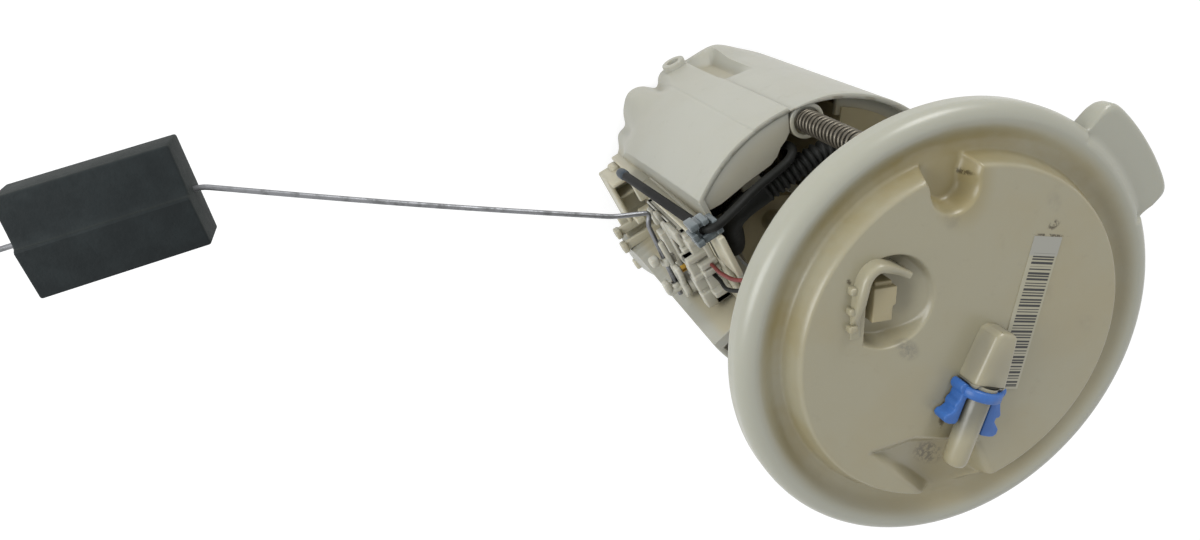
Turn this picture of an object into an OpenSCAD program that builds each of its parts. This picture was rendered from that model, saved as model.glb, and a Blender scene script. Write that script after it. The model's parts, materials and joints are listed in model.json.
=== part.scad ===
// In-tank fuel pump module: a cover plate that closes the tank opening, a sprung reservoir cup
// on two guide rods below it, the pump and filter in the cup, and a level sender with its float.
// Origin: centre of the tank seat, with +Z up out of the tank. The sender faces -Y.

/* [Cover plate] */
// Outer diameter of the cover plate
flange_d = 150; // [140:1:160]
// Height of the rolled rim above the tank seat
rim_h = 11; // [9.5:0.5:13]
// Rounding of the rim's upper edge
rim_round = 5; // [3:0.5:6]
// Outside diameter of the spigot that enters the tank opening
spigot_d = 124; // [123:1:126]
// Length of the spigot below the seat
spigot_depth = 14; // [12:1:18]
// Wall of the spigot
spigot_wall = 2.5; // [2:0.5:3]
// Moulded wall of the cover's face
cover_wall = 3; // [2:0.5:4]
// Diameter of the raised disc
disc_d = 118; // [112:1:119]
// Height of the raised disc's face above the seat
disc_h = 14.8; // [13.5:0.1:17]
// Rounding of the disc's shoulder
disc_round = 2.5; // [1:0.5:3]
// Height of the moat's floor between disc and rim
moat_h = 7.4; // [6.5:0.1:8.5]
// Width of the sloping band inside the rim
rim_slope_w = 7.5; // [5:0.5:9]
// Outer reach of the locating ear from the centre
ear_r = 87; // [83:1:92]
// Direction of the ear's middle
ear_az = 103.5; // [60:0.5:150]
// Width of the ear as an angle
ear_span = 31; // [20:1:40]
// Thickness of the ear
ear_t = 6.5; // [4:0.5:8]
// Width of the notch in the disc's edge
notch_w = 12.5; // [10:0.5:18]
// Distance from the centre to the notch's round end
notch_in_r = 45.5; // [40:0.5:50]
// Direction of the notch
notch_az = 163.5; // [155:0.5:167]

/* [Seal] */
// Height of the seal ring in its groove
seal_h = 3; // [2:0.5:4]
// Width of the seal ring
seal_w = 5; // [3:0.5:6]

/* [Electrical socket] */
// Distance across the socket's shroud
socket_w = 26; // [22:1:30]
// Depth of the scoop from the shroud to its far edge
scoop_l = 23; // [18:1:26]
// Depth of the scoop below the disc's face
scoop_depth = 8; // [5:0.5:9]
// Height of the shroud's lip above the disc's face
lip_h = 4.5; // [2:0.5:7]
// Wall of the shroud
shroud_wall = 2.4; // [1.6:0.2:3]
// Number of contact pins
pin_count = 4; // [2:1:5]
// Width of a contact pin
pin_w = 1.6; // [1:0.2:2]

/* [Fuel outlet] */
// Outside diameter of the outlet nipple
nipple_d = 7.9; // [7:0.1:9.5]
// Bore of the outlet nipple
nipple_bore = 5; // [3:0.5:6]
// Free length of the nipple
nipple_l = 28; // [22:1:32]
// Diameter of the nipple's neck, where the retainer sits
neck_d = 7; // [6.4:0.1:7.4]
// Diameter of the block that the nipple springs from
outlet_block_d = 12; // [10:0.5:14]
// Length of that block
outlet_block_l = 17; // [12:1:20]
// Height of the nipple's axis above the disc's face
nipple_rise = 5; // [4.8:0.1:6]
// Thickness of the blue retainer clip along the nipple
clip_bar_l = 3.2; // [2.5:0.1:4]
// Distance across the clip's bar
clip_w = 16.6; // [14:0.2:19]
// Length of the clip's legs
clip_leg_l = 14; // [10:0.5:18]

/* [Label] */
// Length of the label
label_l = 53; // [40:1:60]
// Width of the label
label_w = 10.6; // [8:0.2:11]
// Thickness of the label
label_t = 0.2; // [0.1:0.05:0.4]

/* [Guides and springs] */
// Diameter of a guide rod
rod_d = 5; // [4:0.5:6]
// Distance of a guide rod from the cup's axis
rod_r = 51.5; // [50:0.5:52]
// Direction of the left guide rod seen from the cup's axis
rod_az = 166.6; // [165:0.1:168]
// Running clearance round a guide rod
rod_clear = 0.06; // [0.02:0.01:0.1]
// Height of the cup's rim below the seat
rim_drop = 60; // [56:1:64]
// Outer diameter of the coil spring
spring_d = 9; // [8.6:0.1:9.6]
// Wire of the coil spring
spring_wire = 1.3; // [1:0.1:1.4]
// Turns of the coil spring
spring_turns = 20; // [14:1:22]
// Length of the guide sleeve below the spring cup
sleeve_l = 32; // [26:1:36]

/* [Reservoir cup] */
// Outer diameter of the reservoir cup
cup_d = 119; // [117:1:121]
// Wall of the cup
cup_wall = 2.2; // [1.8:0.1:3]
// Height of the cup
cup_h = 112; // [108:1:120]
// Rounding of the cup's bottom edge
cup_round = 3.5; // [2:0.5:6]
// Floor of the cup
cup_floor = 2.5; // [2:0.5:3.5]
// Offset of the cup's axis from the plate's axis along X
cup_x = -6.9; // [-8:0.1:-5]
// Offset of the cup's axis from the plate's axis along Y
cup_y = -3.2; // [-5:0.1:-2]
// Distance of the sender's flat from the plate's axis
flat_y = -41; // [-42:0.5:-40]
// Right-hand end of the sender's flat
flat_end_x = 1; // [-2:0.5:4]
// Height of the three feet
foot_h = 2.5; // [1.5:0.5:4]

/* [Pump] */
// Outside diameter of the pump's steel can
can_d = 38; // [36:0.5:39]
// Wall of the can
can_wall = 1; // [0.8:0.1:1.4]
// Length of the can
can_l = 62; // [58:1:66]
// Air gap between armature and magnets
air_gap = 0.6; // [0.4:0.1:0.8]
// Diameter of the impeller
impeller_d = 31; // [28:0.5:32]
// Thickness of the impeller
impeller_t = 3.6; // [3:0.1:4.5]
// Number of impeller vanes
vane_count = 30; // [20:1:36]
// Diameter of the pump shaft
shaft_d = 3.2; // [2.5:0.1:4]

/* [Filter] */
// Inner radius of the filter case round the pump
filter_in_r = 22.3; // [22.2:0.1:24]
// Outer radius of the filter case from the cup's axis
filter_out_r = 53; // [50:0.5:55]
// Height of the filter case
filter_h = 76; // [60:1:80]
// Wall of the filter case
filter_wall = 2; // [1.5:0.1:2.5]

/* [Level sender] */
// Height of the float arm's pivot below the seat
pivot_drop = 94; // [90:1:98]
// Position of the float arm's pivot along X
pivot_x = -6.4; // [-9:0.2:-4]
// Diameter of the float arm's wire
wire_d = 2; // [1.6:0.1:2.4]
// Thickness of the sender's back plate
plate_t = 2.6; // [2:0.2:3.4]
// Depth of the sender's body in front of its back plate
sender_depth = 9.5; // [8.5:0.5:11]
// Length of the float
float_l = 57; // [45:1:62]
// Breadth of the float
float_b = 37; // [28:1:40]
// Height of the float
float_h = 19; // [14:1:24]
// Running clearance of the float on its wire
float_clear = 0.06; // [0.02:0.01:0.1]
// Diameter of the float arm's pivot pin
pivot_d = 3; // [2.4:0.1:3.6]

/* [Hidden] */
$fn = 48;
eps = 0.01;
seat_gap = 0.3;

flange_r = flange_d / 2;
spigot_r = spigot_d / 2;
disc_r = disc_d / 2;
cup_r = cup_d / 2;
cup_in_r = cup_r - cup_wall;
cup_top = -rim_drop;
cup_bottom = cup_top - cup_h;
floor_z = cup_bottom + cup_floor;
cup_xy = [cup_x, cup_y];
rod_xy = [for (side = [0, 1]) cup_xy + rod_r * [cos(rod_az + 180 * side), sin(rod_az + 180 * side)]];
rod_hole_r = rod_d / 2 + rod_clear;
boss_r = rod_d / 2 + 3;
pump_xy = cup_xy + [4, -8];
can_r = can_d / 2;

// Points of an arc about a centre, for revolved and extruded outlines
function arc(c, r, a0, a1, n = 5) =
    [for (i = [0 : n]) c + r * [cos(a0 + (a1 - a0) * i / n), sin(a0 + (a1 - a0) * i / n)]];

// Tube swept along a list of points, closed at both ends
function unit(v) = v / norm(v);
function tangent(p, i) = unit(p[min(i + 1, len(p) - 1)] - p[max(i - 1, 0)]);
function side_of(t) = unit(cross(t, abs(t[2]) > 0.9 ? [1, 0, 0] : [0, 0, 1]));
function carry(n, t) = unit(n - (n * t) * t);
function frames(p, i = 0, n = undef) =
    i == len(p) ? [] :
    let (t = tangent(p, i), a = i == 0 ? side_of(t) : carry(n, t)) concat([[a, cross(t, a)]], frames(p, i + 1, a));
module tube(p, r, sides = 8) {
    f = frames(p);
    rings = [for (i = [0 : len(p) - 1]) for (k = [0 : sides - 1])
        p[i] + r * (cos(360 * k / sides) * f[i][0] + sin(360 * k / sides) * f[i][1])];
    walls = [for (i = [0 : len(p) - 2]) for (k = [0 : sides - 1])
        let (a = i * sides + k, b = i * sides + (k + 1) % sides) each [[a, a + sides, b + sides], [a, b + sides, b]]];
    ends = [[for (k = [0 : sides - 1]) k], [for (k = [sides - 1 : -1 : 0]) (len(p) - 1) * sides + k]];
    polyhedron(rings, concat(walls, ends), convexity = 10);
}

// Smooth curve through a route's points
function spline(p, steps) =
    [for (i = [0 : len(p) - 2]) for (s = [0 : steps - 1]) curve_at(p, i, s / steps), p[len(p) - 1]];
function curve_at(p, i, s) =
    let (a = p[max(i - 1, 0)], b = p[i], c = p[i + 1], d = p[min(i + 2, len(p) - 1)])
    0.5 * (2 * b + (c - a) * s + (2 * a - 5 * b + 4 * c - d) * s * s + (3 * b - a - 3 * c + d) * s * s * s);

module at_rod(side) translate([rod_xy[side][0], rod_xy[side][1], 0]) children();
module at_cup() translate([cup_x, cup_y, 0]) children();
module at_pump() translate([pump_xy[0], pump_xy[1], 0]) children();
module wedge(r, a0, a1) polygon(concat([[0, 0]], arc([0, 0], r, a0, a1, 12)));
module slab(z0, z1) translate([0, 0, z0]) linear_extrude(z1 - z0) children();

// Cover plate
socket_az = 63.4;
socket_xy = [-31, -24.5];
scoop_r = scoop_l - 8;
scoop_z = disc_h - scoop_depth;
outlet_az = -43;
outlet_xy = [3.1, 9];
nipple_z = disc_h + nipple_rise;
pocket_z = 7;
pocket = [[19, -43], [58, -28], [57, -10.5], [40.5, -10], [24, -28.5]];
seal_in_r = spigot_r + (flange_r - spigot_r - seal_w) / 4;
land_start = outlet_block_l + clip_bar_l + 0.6;
barb_xy = outlet_xy + 5 * [cos(outlet_az), sin(outlet_az)];
barb_d = 8;
barb_z = -spigot_depth - 4;

module flange_outline() polygon(concat(
    [[0, -spigot_depth], [spigot_r, -spigot_depth], [spigot_r, 0], [flange_r - 2, 0]],
    arc([flange_r - 2, 2], 2, -90, 0, 3),
    arc([flange_r - rim_round, rim_h - rim_round], rim_round, 0, 100, 6),
    [[spigot_r + 8.5 - rim_slope_w, moat_h], [disc_r + 1.2, moat_h]],
    arc([disc_r - disc_round, disc_h - disc_round], disc_round, 8, 90, 4),
    [[0, disc_h]]));
module cavity_outline() polygon([[0, -spigot_depth - 1], [spigot_r - spigot_wall, -spigot_depth - 1],
    [spigot_r - spigot_wall, moat_h - cover_wall - 1], [disc_r - cover_wall, moat_h - cover_wall + 1],
    [disc_r - cover_wall, disc_h - cover_wall], [0, disc_h - cover_wall]]);
module notch_outline(grow, reach) rotate(notch_az) union() {
    translate([notch_in_r + notch_w / 2, 0]) circle(notch_w / 2 + grow);
    translate([notch_in_r + notch_w / 2, -notch_w / 2 - grow])
        square([reach - notch_in_r - notch_w / 2, notch_w + 2 * grow]);
}
function from_socket(x, y) = let (b = socket_az - 90)
    [socket_xy[0] + x * cos(b) - y * sin(b), socket_xy[1] + x * sin(b) + y * cos(b)];
module at_socket() translate([socket_xy[0], socket_xy[1], 0]) rotate(socket_az - 90) children();
shroud_reach = 10;
module scoop_outline(grow) {
    translate([0, scoop_l - scoop_r]) circle(scoop_r + grow);
    translate([-scoop_r + 2 - grow, -grow]) square([2 * scoop_r - 4 + 2 * grow, scoop_l - scoop_r + grow]);
}
module shroud_outline(grow) union() {
    translate([-socket_w / 2 + 4 - grow, -grow]) square([socket_w - 8 + 2 * grow, 12 + 2 * grow]);
    translate([-socket_w / 2 - grow, 4 - grow]) square([socket_w + 2 * grow, 8 + 2 * grow]);
    for (s = [-1, 1]) translate([s * (socket_w / 2 - 4), 4]) circle(4 + grow);
}
module at_outlet() translate([outlet_xy[0], outlet_xy[1], nipple_z]) rotate(outlet_az) rotate([0, 90, 0]) children();
module pocket_outline(grow) offset(delta = grow) polygon(pocket);
module flange_solid() {
    rotate_extrude($fn = 96) flange_outline();
    slab(1.5, 1.5 + ear_t) intersection() {
        offset(3) offset(-3) union() {
            wedge(ear_r, ear_az - ear_span / 2, ear_az + ear_span / 2);
            circle(flange_r - 3);
        }
        difference() {
            wedge(ear_r + 5, ear_az - ear_span, ear_az + ear_span);
            circle(flange_r - 4);
        }
    }
    at_socket() difference() {
        slab(scoop_z - cover_wall, disc_h + lip_h) shroud_outline(shroud_wall);
        translate([0, scoop_l, disc_h + lip_h + 7.5]) rotate([-28, 0, 0]) cube([60, 60, 16], center = true);
    }
    at_socket() for (x = [-6, 0, 6]) translate([x - 0.8, -shroud_wall - 2.2, disc_h - 1]) cube([1.6, 3, 4]);
    at_outlet() cylinder(d = outlet_block_d, h = outlet_block_l);
    translate([outlet_xy[0], outlet_xy[1], disc_h - 1]) rotate(outlet_az) translate([0, -outlet_block_d / 2, 0])
        cube([outlet_block_l, outlet_block_d, nipple_rise + 1]);
    at_outlet() cylinder(d = neck_d, h = land_start + 1);
    at_outlet() translate([0, 0, land_start]) cylinder(d = nipple_d, h = outlet_block_l + nipple_l - land_start);
    translate([barb_xy[0], barb_xy[1], barb_z]) cylinder(d = barb_d, h = disc_h - 1 - barb_z);
}
module flange() color("ivory") difference() {
    flange_solid();
    difference() {
        rotate_extrude($fn = 96) cavity_outline();
        slab(moat_h - cover_wall, disc_h) notch_outline(cover_wall, disc_r + 1);
        at_socket() slab(scoop_z - cover_wall, disc_h) scoop_outline(cover_wall);
        slab(pocket_z - cover_wall, disc_h) pocket_outline(cover_wall);
        for (side = [0, 1]) at_rod(side) translate([0, 0, -spigot_depth]) cylinder(r = boss_r, h = disc_h + spigot_depth - 1);
        translate([barb_xy[0], barb_xy[1], barb_z]) cylinder(d = barb_d, h = disc_h - 1 - barb_z);
    }
    slab(moat_h, disc_h + 1) notch_outline(0, disc_r + 4);
    slab(pocket_z, disc_h + nipple_rise - nipple_d / 2 - 0.2) pocket_outline(0);
    at_socket() difference() {
        slab(scoop_z, disc_h + lip_h + 1) scoop_outline(0);
        slab(scoop_z - 1, disc_h + lip_h + 2) intersection() {
            difference() {
                shroud_outline(shroud_wall);
                shroud_outline(0);
            }
            translate([-socket_w, -socket_w]) square([2 * socket_w, socket_w + shroud_reach]);
        }
    }
    rotate_extrude($fn = 96) translate([seal_in_r, -eps]) square([seal_w, seal_h + eps]);
    for (side = [0, 1]) at_rod(side) translate([0, 0, -spigot_depth - 1]) cylinder(r = rod_d / 2 + 0.02, h = rod_grip + 1);
    at_outlet() translate([0, 0, 3]) cylinder(d = nipple_bore, h = outlet_block_l + nipple_l);
    translate([barb_xy[0], barb_xy[1], barb_z - 1]) cylinder(d = barb_d - 3, h = nipple_z - barb_z + 1);
}
rod_grip = 16;

module seal_ring() color("dimgray")
    rotate_extrude($fn = 96) translate([seal_in_r + 0.05, 0]) square([seal_w - 0.1, seal_h - 0.05]);

block_w = 15;
block_d = 7;
module terminal_block() color("antiquewhite") at_socket() difference() {
    slab(scoop_z, disc_h + 1.5) translate([-block_w / 2, 2.5]) square([block_w, block_d]);
    for (i = [0 : pin_count - 1]) translate([pin_at(i) - pin_w / 2 - 0.1, 2.5 + block_d / 2 - 0.5, scoop_z - 1])
        cube([pin_w + 0.2, 1, disc_h]);
    translate([-block_w / 2 - 1, 2, disc_h - 2]) cube([5, 2.5, 5]);
}
function pin_at(i) = (i - (pin_count - 1) / 2) * 3.3;
module connector_pins() color("silver") at_socket()
    for (i = [0 : pin_count - 1]) translate([pin_at(i) - pin_w / 2, 2.5 + block_d / 2 - 0.4, scoop_z])
        cube([pin_w, 0.8, scoop_depth + 3]);

// Blue retainer on the nipple, drawn in plan with the nipple along its X
clip_start = outlet_block_l + 0.3;
leg_in = nipple_d / 2 + 1;
leg_w = 2.6;
module clip_outline() {
    translate([0, -clip_w / 2]) square([clip_bar_l, clip_w]);
    for (s = [-1, 1]) scale([1, s]) polygon([[0, leg_in], [clip_bar_l + clip_leg_l, leg_in],
        [clip_bar_l + clip_leg_l, leg_in + leg_w], [clip_bar_l + clip_leg_l - 1, leg_in + leg_w + 2],
        [clip_bar_l + clip_leg_l - 4, leg_in + leg_w + 2], [clip_bar_l + clip_leg_l - 4, leg_in + leg_w],
        [clip_bar_l + clip_leg_l - 6, leg_in + leg_w], [clip_bar_l + clip_leg_l - 6, leg_in + leg_w + 1.6],
        [clip_bar_l, leg_in + 1.2]]);
}
module retainer_clip() color("steelblue") translate([outlet_xy[0], outlet_xy[1], 0]) rotate(outlet_az)
    translate([clip_start, 0, 0]) difference() {
        union() {
            slab(disc_h + 0.3, nipple_z + 1.5) clip_outline();
            slab(disc_h + 0.3, nipple_z + nipple_d / 2 + 2) translate([0, -clip_w / 2 + 1.5]) square([clip_bar_l, clip_w - 3]);
        }
        translate([-1, 0, nipple_z]) rotate([0, 90, 0]) cylinder(d = neck_d + 0.2, h = clip_bar_l + 2);
        translate([-1, -neck_d / 2 - 0.1, 0]) cube([clip_bar_l + 2, neck_d + 0.2, nipple_z]);
    }

label_az = -36.7;
label_xy = [5.25, 21.6];
module label() color("white") translate([label_xy[0], label_xy[1], disc_h]) rotate(label_az)
    translate([-label_l / 2, -label_w / 2, 0]) cube([label_l, label_w, label_t]);

// Guide rods, springs and their clips
rod_top = -spigot_depth + rod_grip - 0.5;
sleeve_bottom = cup_top - 2 - sleeve_l;
clip_t = 1.2;
rod_end = sleeve_bottom - 5;
module guide_rod(side) color("silver") at_rod(side) difference() {
    translate([0, 0, rod_end]) cylinder(d = rod_d, h = rod_top - rod_end);
    translate([0, 0, sleeve_bottom - clip_t - 0.3]) rotate_extrude() translate([rod_d / 2 - 0.5, 0]) square([1, clip_t]);
}
module rod_clips() color("gray") for (side = [0, 1]) at_rod(side)
    translate([0, 0, sleeve_bottom - clip_t - 0.25]) difference() {
        cylinder(d = rod_d + 4, h = clip_t - 0.1);
        translate([0, 0, -1]) cylinder(d = rod_d - 0.9, h = clip_t + 2);
        translate([0, -rod_d / 2 + 0.6, -1]) cube([rod_d, rod_d - 1.2, clip_t + 2]);
    }
spring_low = cup_top - 2 + spring_wire / 2 + 0.05;
spring_high = -spigot_depth - spring_wire / 2 - 0.05;
coil_r = (spring_d - spring_wire) / 2;
function coil(n, steps, z0, z1) = [for (i = [0 : n * steps])
    [coil_r * cos(360 * i / steps), coil_r * sin(360 * i / steps), z0 + (z1 - z0) * coil_rise(i / steps, n)]];
function coil_rise(t, n) = t < 1 ? 0.022 * t : t > n - 1 ? 1 - 0.022 * (n - t) : 0.022 + (t - 1) / (n - 2) * 0.956;
module spring(side) color("peru") at_rod(side) tube(coil(spring_turns, 10, spring_low, spring_high), spring_wire / 2, 6);

plug_h = 10;
plug_y = 9;
plug_holes = [-6, -2, 2, 6];
function plug_hole(i) = from_socket(plug_holes[i], plug_y);
function wire_start(i) = [for (z = [-plug_h + 4, -plug_h - 1, -plug_h - 4]) [plug_hole(i)[0], plug_hole(i)[1], z]];
module lower_plug() color("beige") at_socket() difference() {
    translate([-10, plug_y - 6, -plug_h]) cube([20, 12, scoop_z - cover_wall + plug_h]);
    for (x = plug_holes) translate([x, plug_y, -plug_h - 1]) cylinder(d = 2.4, h = 8);
}

// Reservoir cup: a drafted round pot with the sender's flat cut into its side
spring_cup_r = spring_d / 2 + 2.4;
trough_w = 13;
trough_top = cup_bottom + 57;
column_top = cup_bottom + cup_floor + 10 + can_l - 3;
module pot_outline(inset, z_low) polygon(concat([[0, z_low]],
    arc([cup_r - inset - cup_round, z_low + cup_round], cup_round, -90, 0, 5), [[cup_r - inset, cup_top + (inset > 0 ? 1 : 0)],
    [0, cup_top + (inset > 0 ? 1 : 0)]]));
module flat_block(grow) translate([-100, -100, cup_bottom - 5])
    cube([100 + flat_end_x + grow, 100 + flat_y + grow, cup_h + 10]);
module trough_outline(grow, reach) for (side = [0, 1]) rotate(rod_az + 180 * side) {
    translate([rod_r, 0]) circle(trough_w / 2 + grow);
    translate([rod_r, -trough_w / 2 - grow]) square([reach, trough_w + 2 * grow]);
}
valve_xy = cup_xy + [-30, -12];
// Lobes round the foot of the pot: direction, reach from the axis and radius of each
foot_lobes = [[201, 63, 11], [152, 62, 12], [186, 61, 5], [288, 63, 13], [60, 61.5, 13]];
lobe_h = 26;
eyelet_az = 179;
eyelet_d = 9;
module foot_lobe(lobe) rotate(lobe[0]) translate([lobe[1] - lobe[2], 0, cup_bottom]) {
    cylinder(r1 = lobe[2] - 1.5, r2 = lobe[2], h = 1.5);
    translate([0, 0, 1.5]) cylinder(r = lobe[2], h = lobe_h - 1.5);
    translate([0, 0, lobe_h - eps]) cylinder(r1 = lobe[2], r2 = lobe[2] - 4, h = 22);
}
module eyelet(d, grow) at_cup() rotate(eyelet_az) translate([cup_r + 1.8, 0, cup_bottom - grow]) cylinder(d = d, h = 7 + 2 * grow);
module reservoir_cup() color("ivory") difference() {
    union() {
        difference() {
            union() {
                at_cup() rotate_extrude($fn = 96) pot_outline(0, cup_bottom);
                at_cup() for (lobe = foot_lobes) foot_lobe(lobe);
                eyelet(eyelet_d, 0);
                at_cup() for (a = [60, 180, 300]) rotate(a) translate([cup_r - 16, -4, cup_bottom - foot_h]) cube([8, 8, foot_h + 1]);
            }
            flat_block(0);
            difference() {
                at_cup() rotate_extrude($fn = 96) pot_outline(cup_wall, floor_z);
                flat_block(cup_wall);
                at_cup() slab(cup_bottom, column_top) trough_outline(cup_wall, 12);
                at_cup() slab(cup_top - 4, cup_top - 2) difference() {
                    wedge(cup_r, 172, 225);
                    translate([-46, -60]) square([92, 120]);
                }
            }
        }
        for (side = [0, 1]) at_rod(side) translate([0, 0, sleeve_bottom]) cylinder(r = boss_r + 1, h = sleeve_l);
        for (side = [0, 1]) at_rod(side) translate([0, 0, cup_top - 6]) cylinder(r = spring_cup_r, h = 7);
    }
    eyelet(eyelet_d - 3.4, 1);
    at_cup() slab(cup_bottom - 1, trough_top - trough_w / 2) trough_outline(0, 12);
    at_cup() for (side = [0, 1]) rotate(rod_az + 180 * side) translate([rod_r, 0, trough_top - trough_w / 2])
        rotate([0, 90, 0]) cylinder(d = trough_w - 1, h = cup_r);
    for (side = [0, 1]) at_rod(side) {
        translate([0, 0, trough_top - trough_w / 2]) cylinder(r = boss_r, h = column_top - trough_top + trough_w);
        translate([0, 0, cup_top - 2]) cylinder(r = spring_cup_r - 1.6, h = 10);
        translate([0, 0, sleeve_bottom - 1]) cylinder(r = bush_r, h = sleeve_l + 4);
    }
    translate([valve_xy[0], valve_xy[1], cup_bottom - 1]) {
        cylinder(d = 3, h = cup_floor + 2);
        for (a = [0 : 60 : 359]) rotate(a) translate([5.5, 0, 0]) cylinder(d = 3, h = cup_floor + 2);
    }
}
bush_r = rod_d / 2 + 1;
module slide_bushes() color("whitesmoke") for (side = [0, 1]) at_rod(side) translate([0, 0, sleeve_bottom]) difference() {
    cylinder(r = bush_r - 0.02, h = sleeve_l);
    translate([0, 0, -1]) cylinder(r = rod_hole_r, h = sleeve_l + 2);
}

// Pump: can, covers, magnets and the turning group
can_bottom = floor_z + 10;
can_top = can_bottom + can_l;
casing_t = 4;
casing_z = can_bottom + 1;
impeller_z = casing_z + casing_t + 0.3;
upper_casing_z = impeller_z + impeller_t + 0.3;
armature_l = 24;
magnet_t = 4;
armature_r = can_r - can_wall - magnet_t - air_gap;
winding_l = 3.5;
armature_z = upper_casing_z + casing_t + winding_l + 1.5;
commutator_z = armature_z + armature_l + winding_l + 0.6;
commutator_l = 7;
cover_z = can_top - 6;
module pump_can() color("silver") at_pump() difference() {
    translate([0, 0, can_bottom]) cylinder(r = can_r, h = can_l);
    translate([0, 0, can_bottom + can_wall]) cylinder(r = can_r - can_wall, h = can_l);
    translate([0, 0, can_bottom - 1]) cylinder(r = can_r - 2.5, h = 4);
}
module pump_inlet_cover() color("darkgray") at_pump() difference() {
    union() {
        translate([0, 0, can_bottom + can_wall]) cylinder(r = can_r - can_wall - 0.02, h = casing_t);
        translate([0, 0, can_bottom - 1.5]) cylinder(r = can_r - 2.6, h = 4);
        translate([9, 0, can_bottom - 5]) cylinder(d = 9, h = 8);
    }
    translate([9, 0, can_bottom - 6]) cylinder(d = 6, h = 20);
    translate([0, 0, can_bottom + 2]) cylinder(d = shaft_d + 0.1, h = 10);
    translate([0, 0, can_bottom + can_wall + casing_t - 0.8]) rotate_extrude() translate([impeller_d / 2 - 3, 0]) square([2.4, 2]);
}
module impeller_casing() color("darkgray") at_pump() difference() {
    translate([0, 0, can_bottom + can_wall + casing_t]) cylinder(r = can_r - can_wall - 0.02, h = impeller_t + 0.6 + casing_t);
    translate([0, 0, can_bottom + can_wall + casing_t - 1]) cylinder(d = impeller_d + 0.6, h = impeller_t + 1.6);
    translate([0, 0, can_bottom]) cylinder(d = 7, h = 40);
    translate([-11, 0, can_bottom]) cylinder(d = 4, h = 40);
}
module impeller() color("dimgray") at_pump() translate([0, 0, impeller_z + can_wall - 1]) difference() {
    cylinder(d = impeller_d, h = impeller_t);
    translate([0, 0, -1]) cylinder(d = shaft_d + 0.04, h = impeller_t + 2);
    for (i = [0 : vane_count - 1]) rotate(360 * i / vane_count) translate([impeller_d / 2 - 2.6, -0.9, -1])
        cube([2, 1.8, impeller_t + 2]);
}
module magnets() color("dimgray") at_pump() translate([0, 0, armature_z - 2]) linear_extrude(armature_l + 4) for (s = [0, 180])
    rotate(s) difference() {
        intersection() {
            circle(can_r - can_wall - 0.02);
            wedge(can_r + 10, -65, 65);
        }
        circle(armature_r + air_gap);
    }
module armature() color("slategray") at_pump() translate([0, 0, armature_z]) linear_extrude(armature_l) difference() {
    circle(armature_r);
    circle(shaft_d / 2 + 0.02);
    for (i = [0 : 7]) rotate(45 * i) translate([armature_r - 5, -0.8]) square([6, 1.6]);
}
module windings() color("orangered") at_pump() for (z = [armature_z - winding_l - 0.1, armature_z + armature_l + 0.1]) translate([0, 0, z])
    difference() {
        cylinder(r1 = armature_r - 2.5, r2 = armature_r - 2.5, h = winding_l);
        translate([0, 0, -1]) cylinder(r = 4.5, h = winding_l + 2);
    }
module commutator() color("peru") at_pump() translate([0, 0, commutator_z]) linear_extrude(commutator_l) difference() {
    circle(6.5);
    circle(shaft_d / 2 + 0.02);
    for (i = [0 : 7]) rotate(45 * i + 22.5) translate([4.5, -0.3]) square([4, 0.6]);
}
module brushes() color("black") at_pump() for (s = [0, 180]) rotate(s) translate([6.9, -2, commutator_z + 1]) cube([8, 4, 5]);
module pump_shaft() color("gainsboro") at_pump() translate([0, 0, can_bottom + 2.3]) cylinder(d = shaft_d, h = cover_z + 3 - can_bottom - 2.3);
module pump_bushes() color("goldenrod") at_pump() for (z = [upper_casing_z + can_wall - 1, cover_z])
    translate([0, 0, z]) difference() {
        cylinder(d = 6.96, h = casing_t - 0.1);
        translate([0, 0, -1]) cylinder(d = shaft_d + 0.1, h = casing_t + 2);
    }
top_cap_h = 16;
nozzle_l = 11;
nozzle_top = can_top + 4 + nozzle_l;
filter_port_z = cup_top - 1;
module pump_top_cover() color("dimgray") at_pump() difference() {
    union() {
        translate([0, 0, cover_z]) cylinder(r = can_r - can_wall - 0.02, h = 6);
        translate([0, 0, can_top - 0.1]) cylinder(r = can_r - 1.5, h = 5);
        translate([-8, 0, can_top + 4]) cylinder(d = 9, h = nozzle_l);
    }
    translate([0, 0, cover_z - 1]) cylinder(d = 7, h = casing_t + 1);
    translate([0, 0, cover_z + casing_t - 1]) cylinder(d = shaft_d + 1, h = 2);
    translate([-8, 0, can_top + 7]) cylinder(d = 6, h = nozzle_l);
    translate([-8, 0, cover_z - 1]) cylinder(d = 3, h = 30);
    for (y = [-9, 9]) translate([6, y, can_top + 2]) cylinder(d = 2.4, h = 5);
}
// Rigid pipe from the pump's nozzle over to the filter's cap
pipe_x = pump_xy[0] - 8;
pipe_route = [[pipe_x, pump_xy[1], nozzle_top + 0.2], [pipe_x, pump_xy[1], nozzle_top + 4], [pipe_x, pump_xy[1], nozzle_top + 8],
    [-11, -7, -64], [-11, 5, -57], [-11, 19, -54.8], [-10.4, 31, -54.8], [-10, 36, -58], [-10, 36, filter_port_z + 1.5], [-10, 36, filter_port_z + 0.2]];
module pump_pipe() color("dimgray") tube(spline(pipe_route, 4), 4, 12);
module check_valve() color("darkkhaki") at_pump() translate([-8, 0, can_top + 7.1]) {
    cylinder(d1 = 4.4, d2 = 5.4, h = 1.6);
    translate([0, 0, 1.5]) cylinder(d = 3, h = 3);
}

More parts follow.
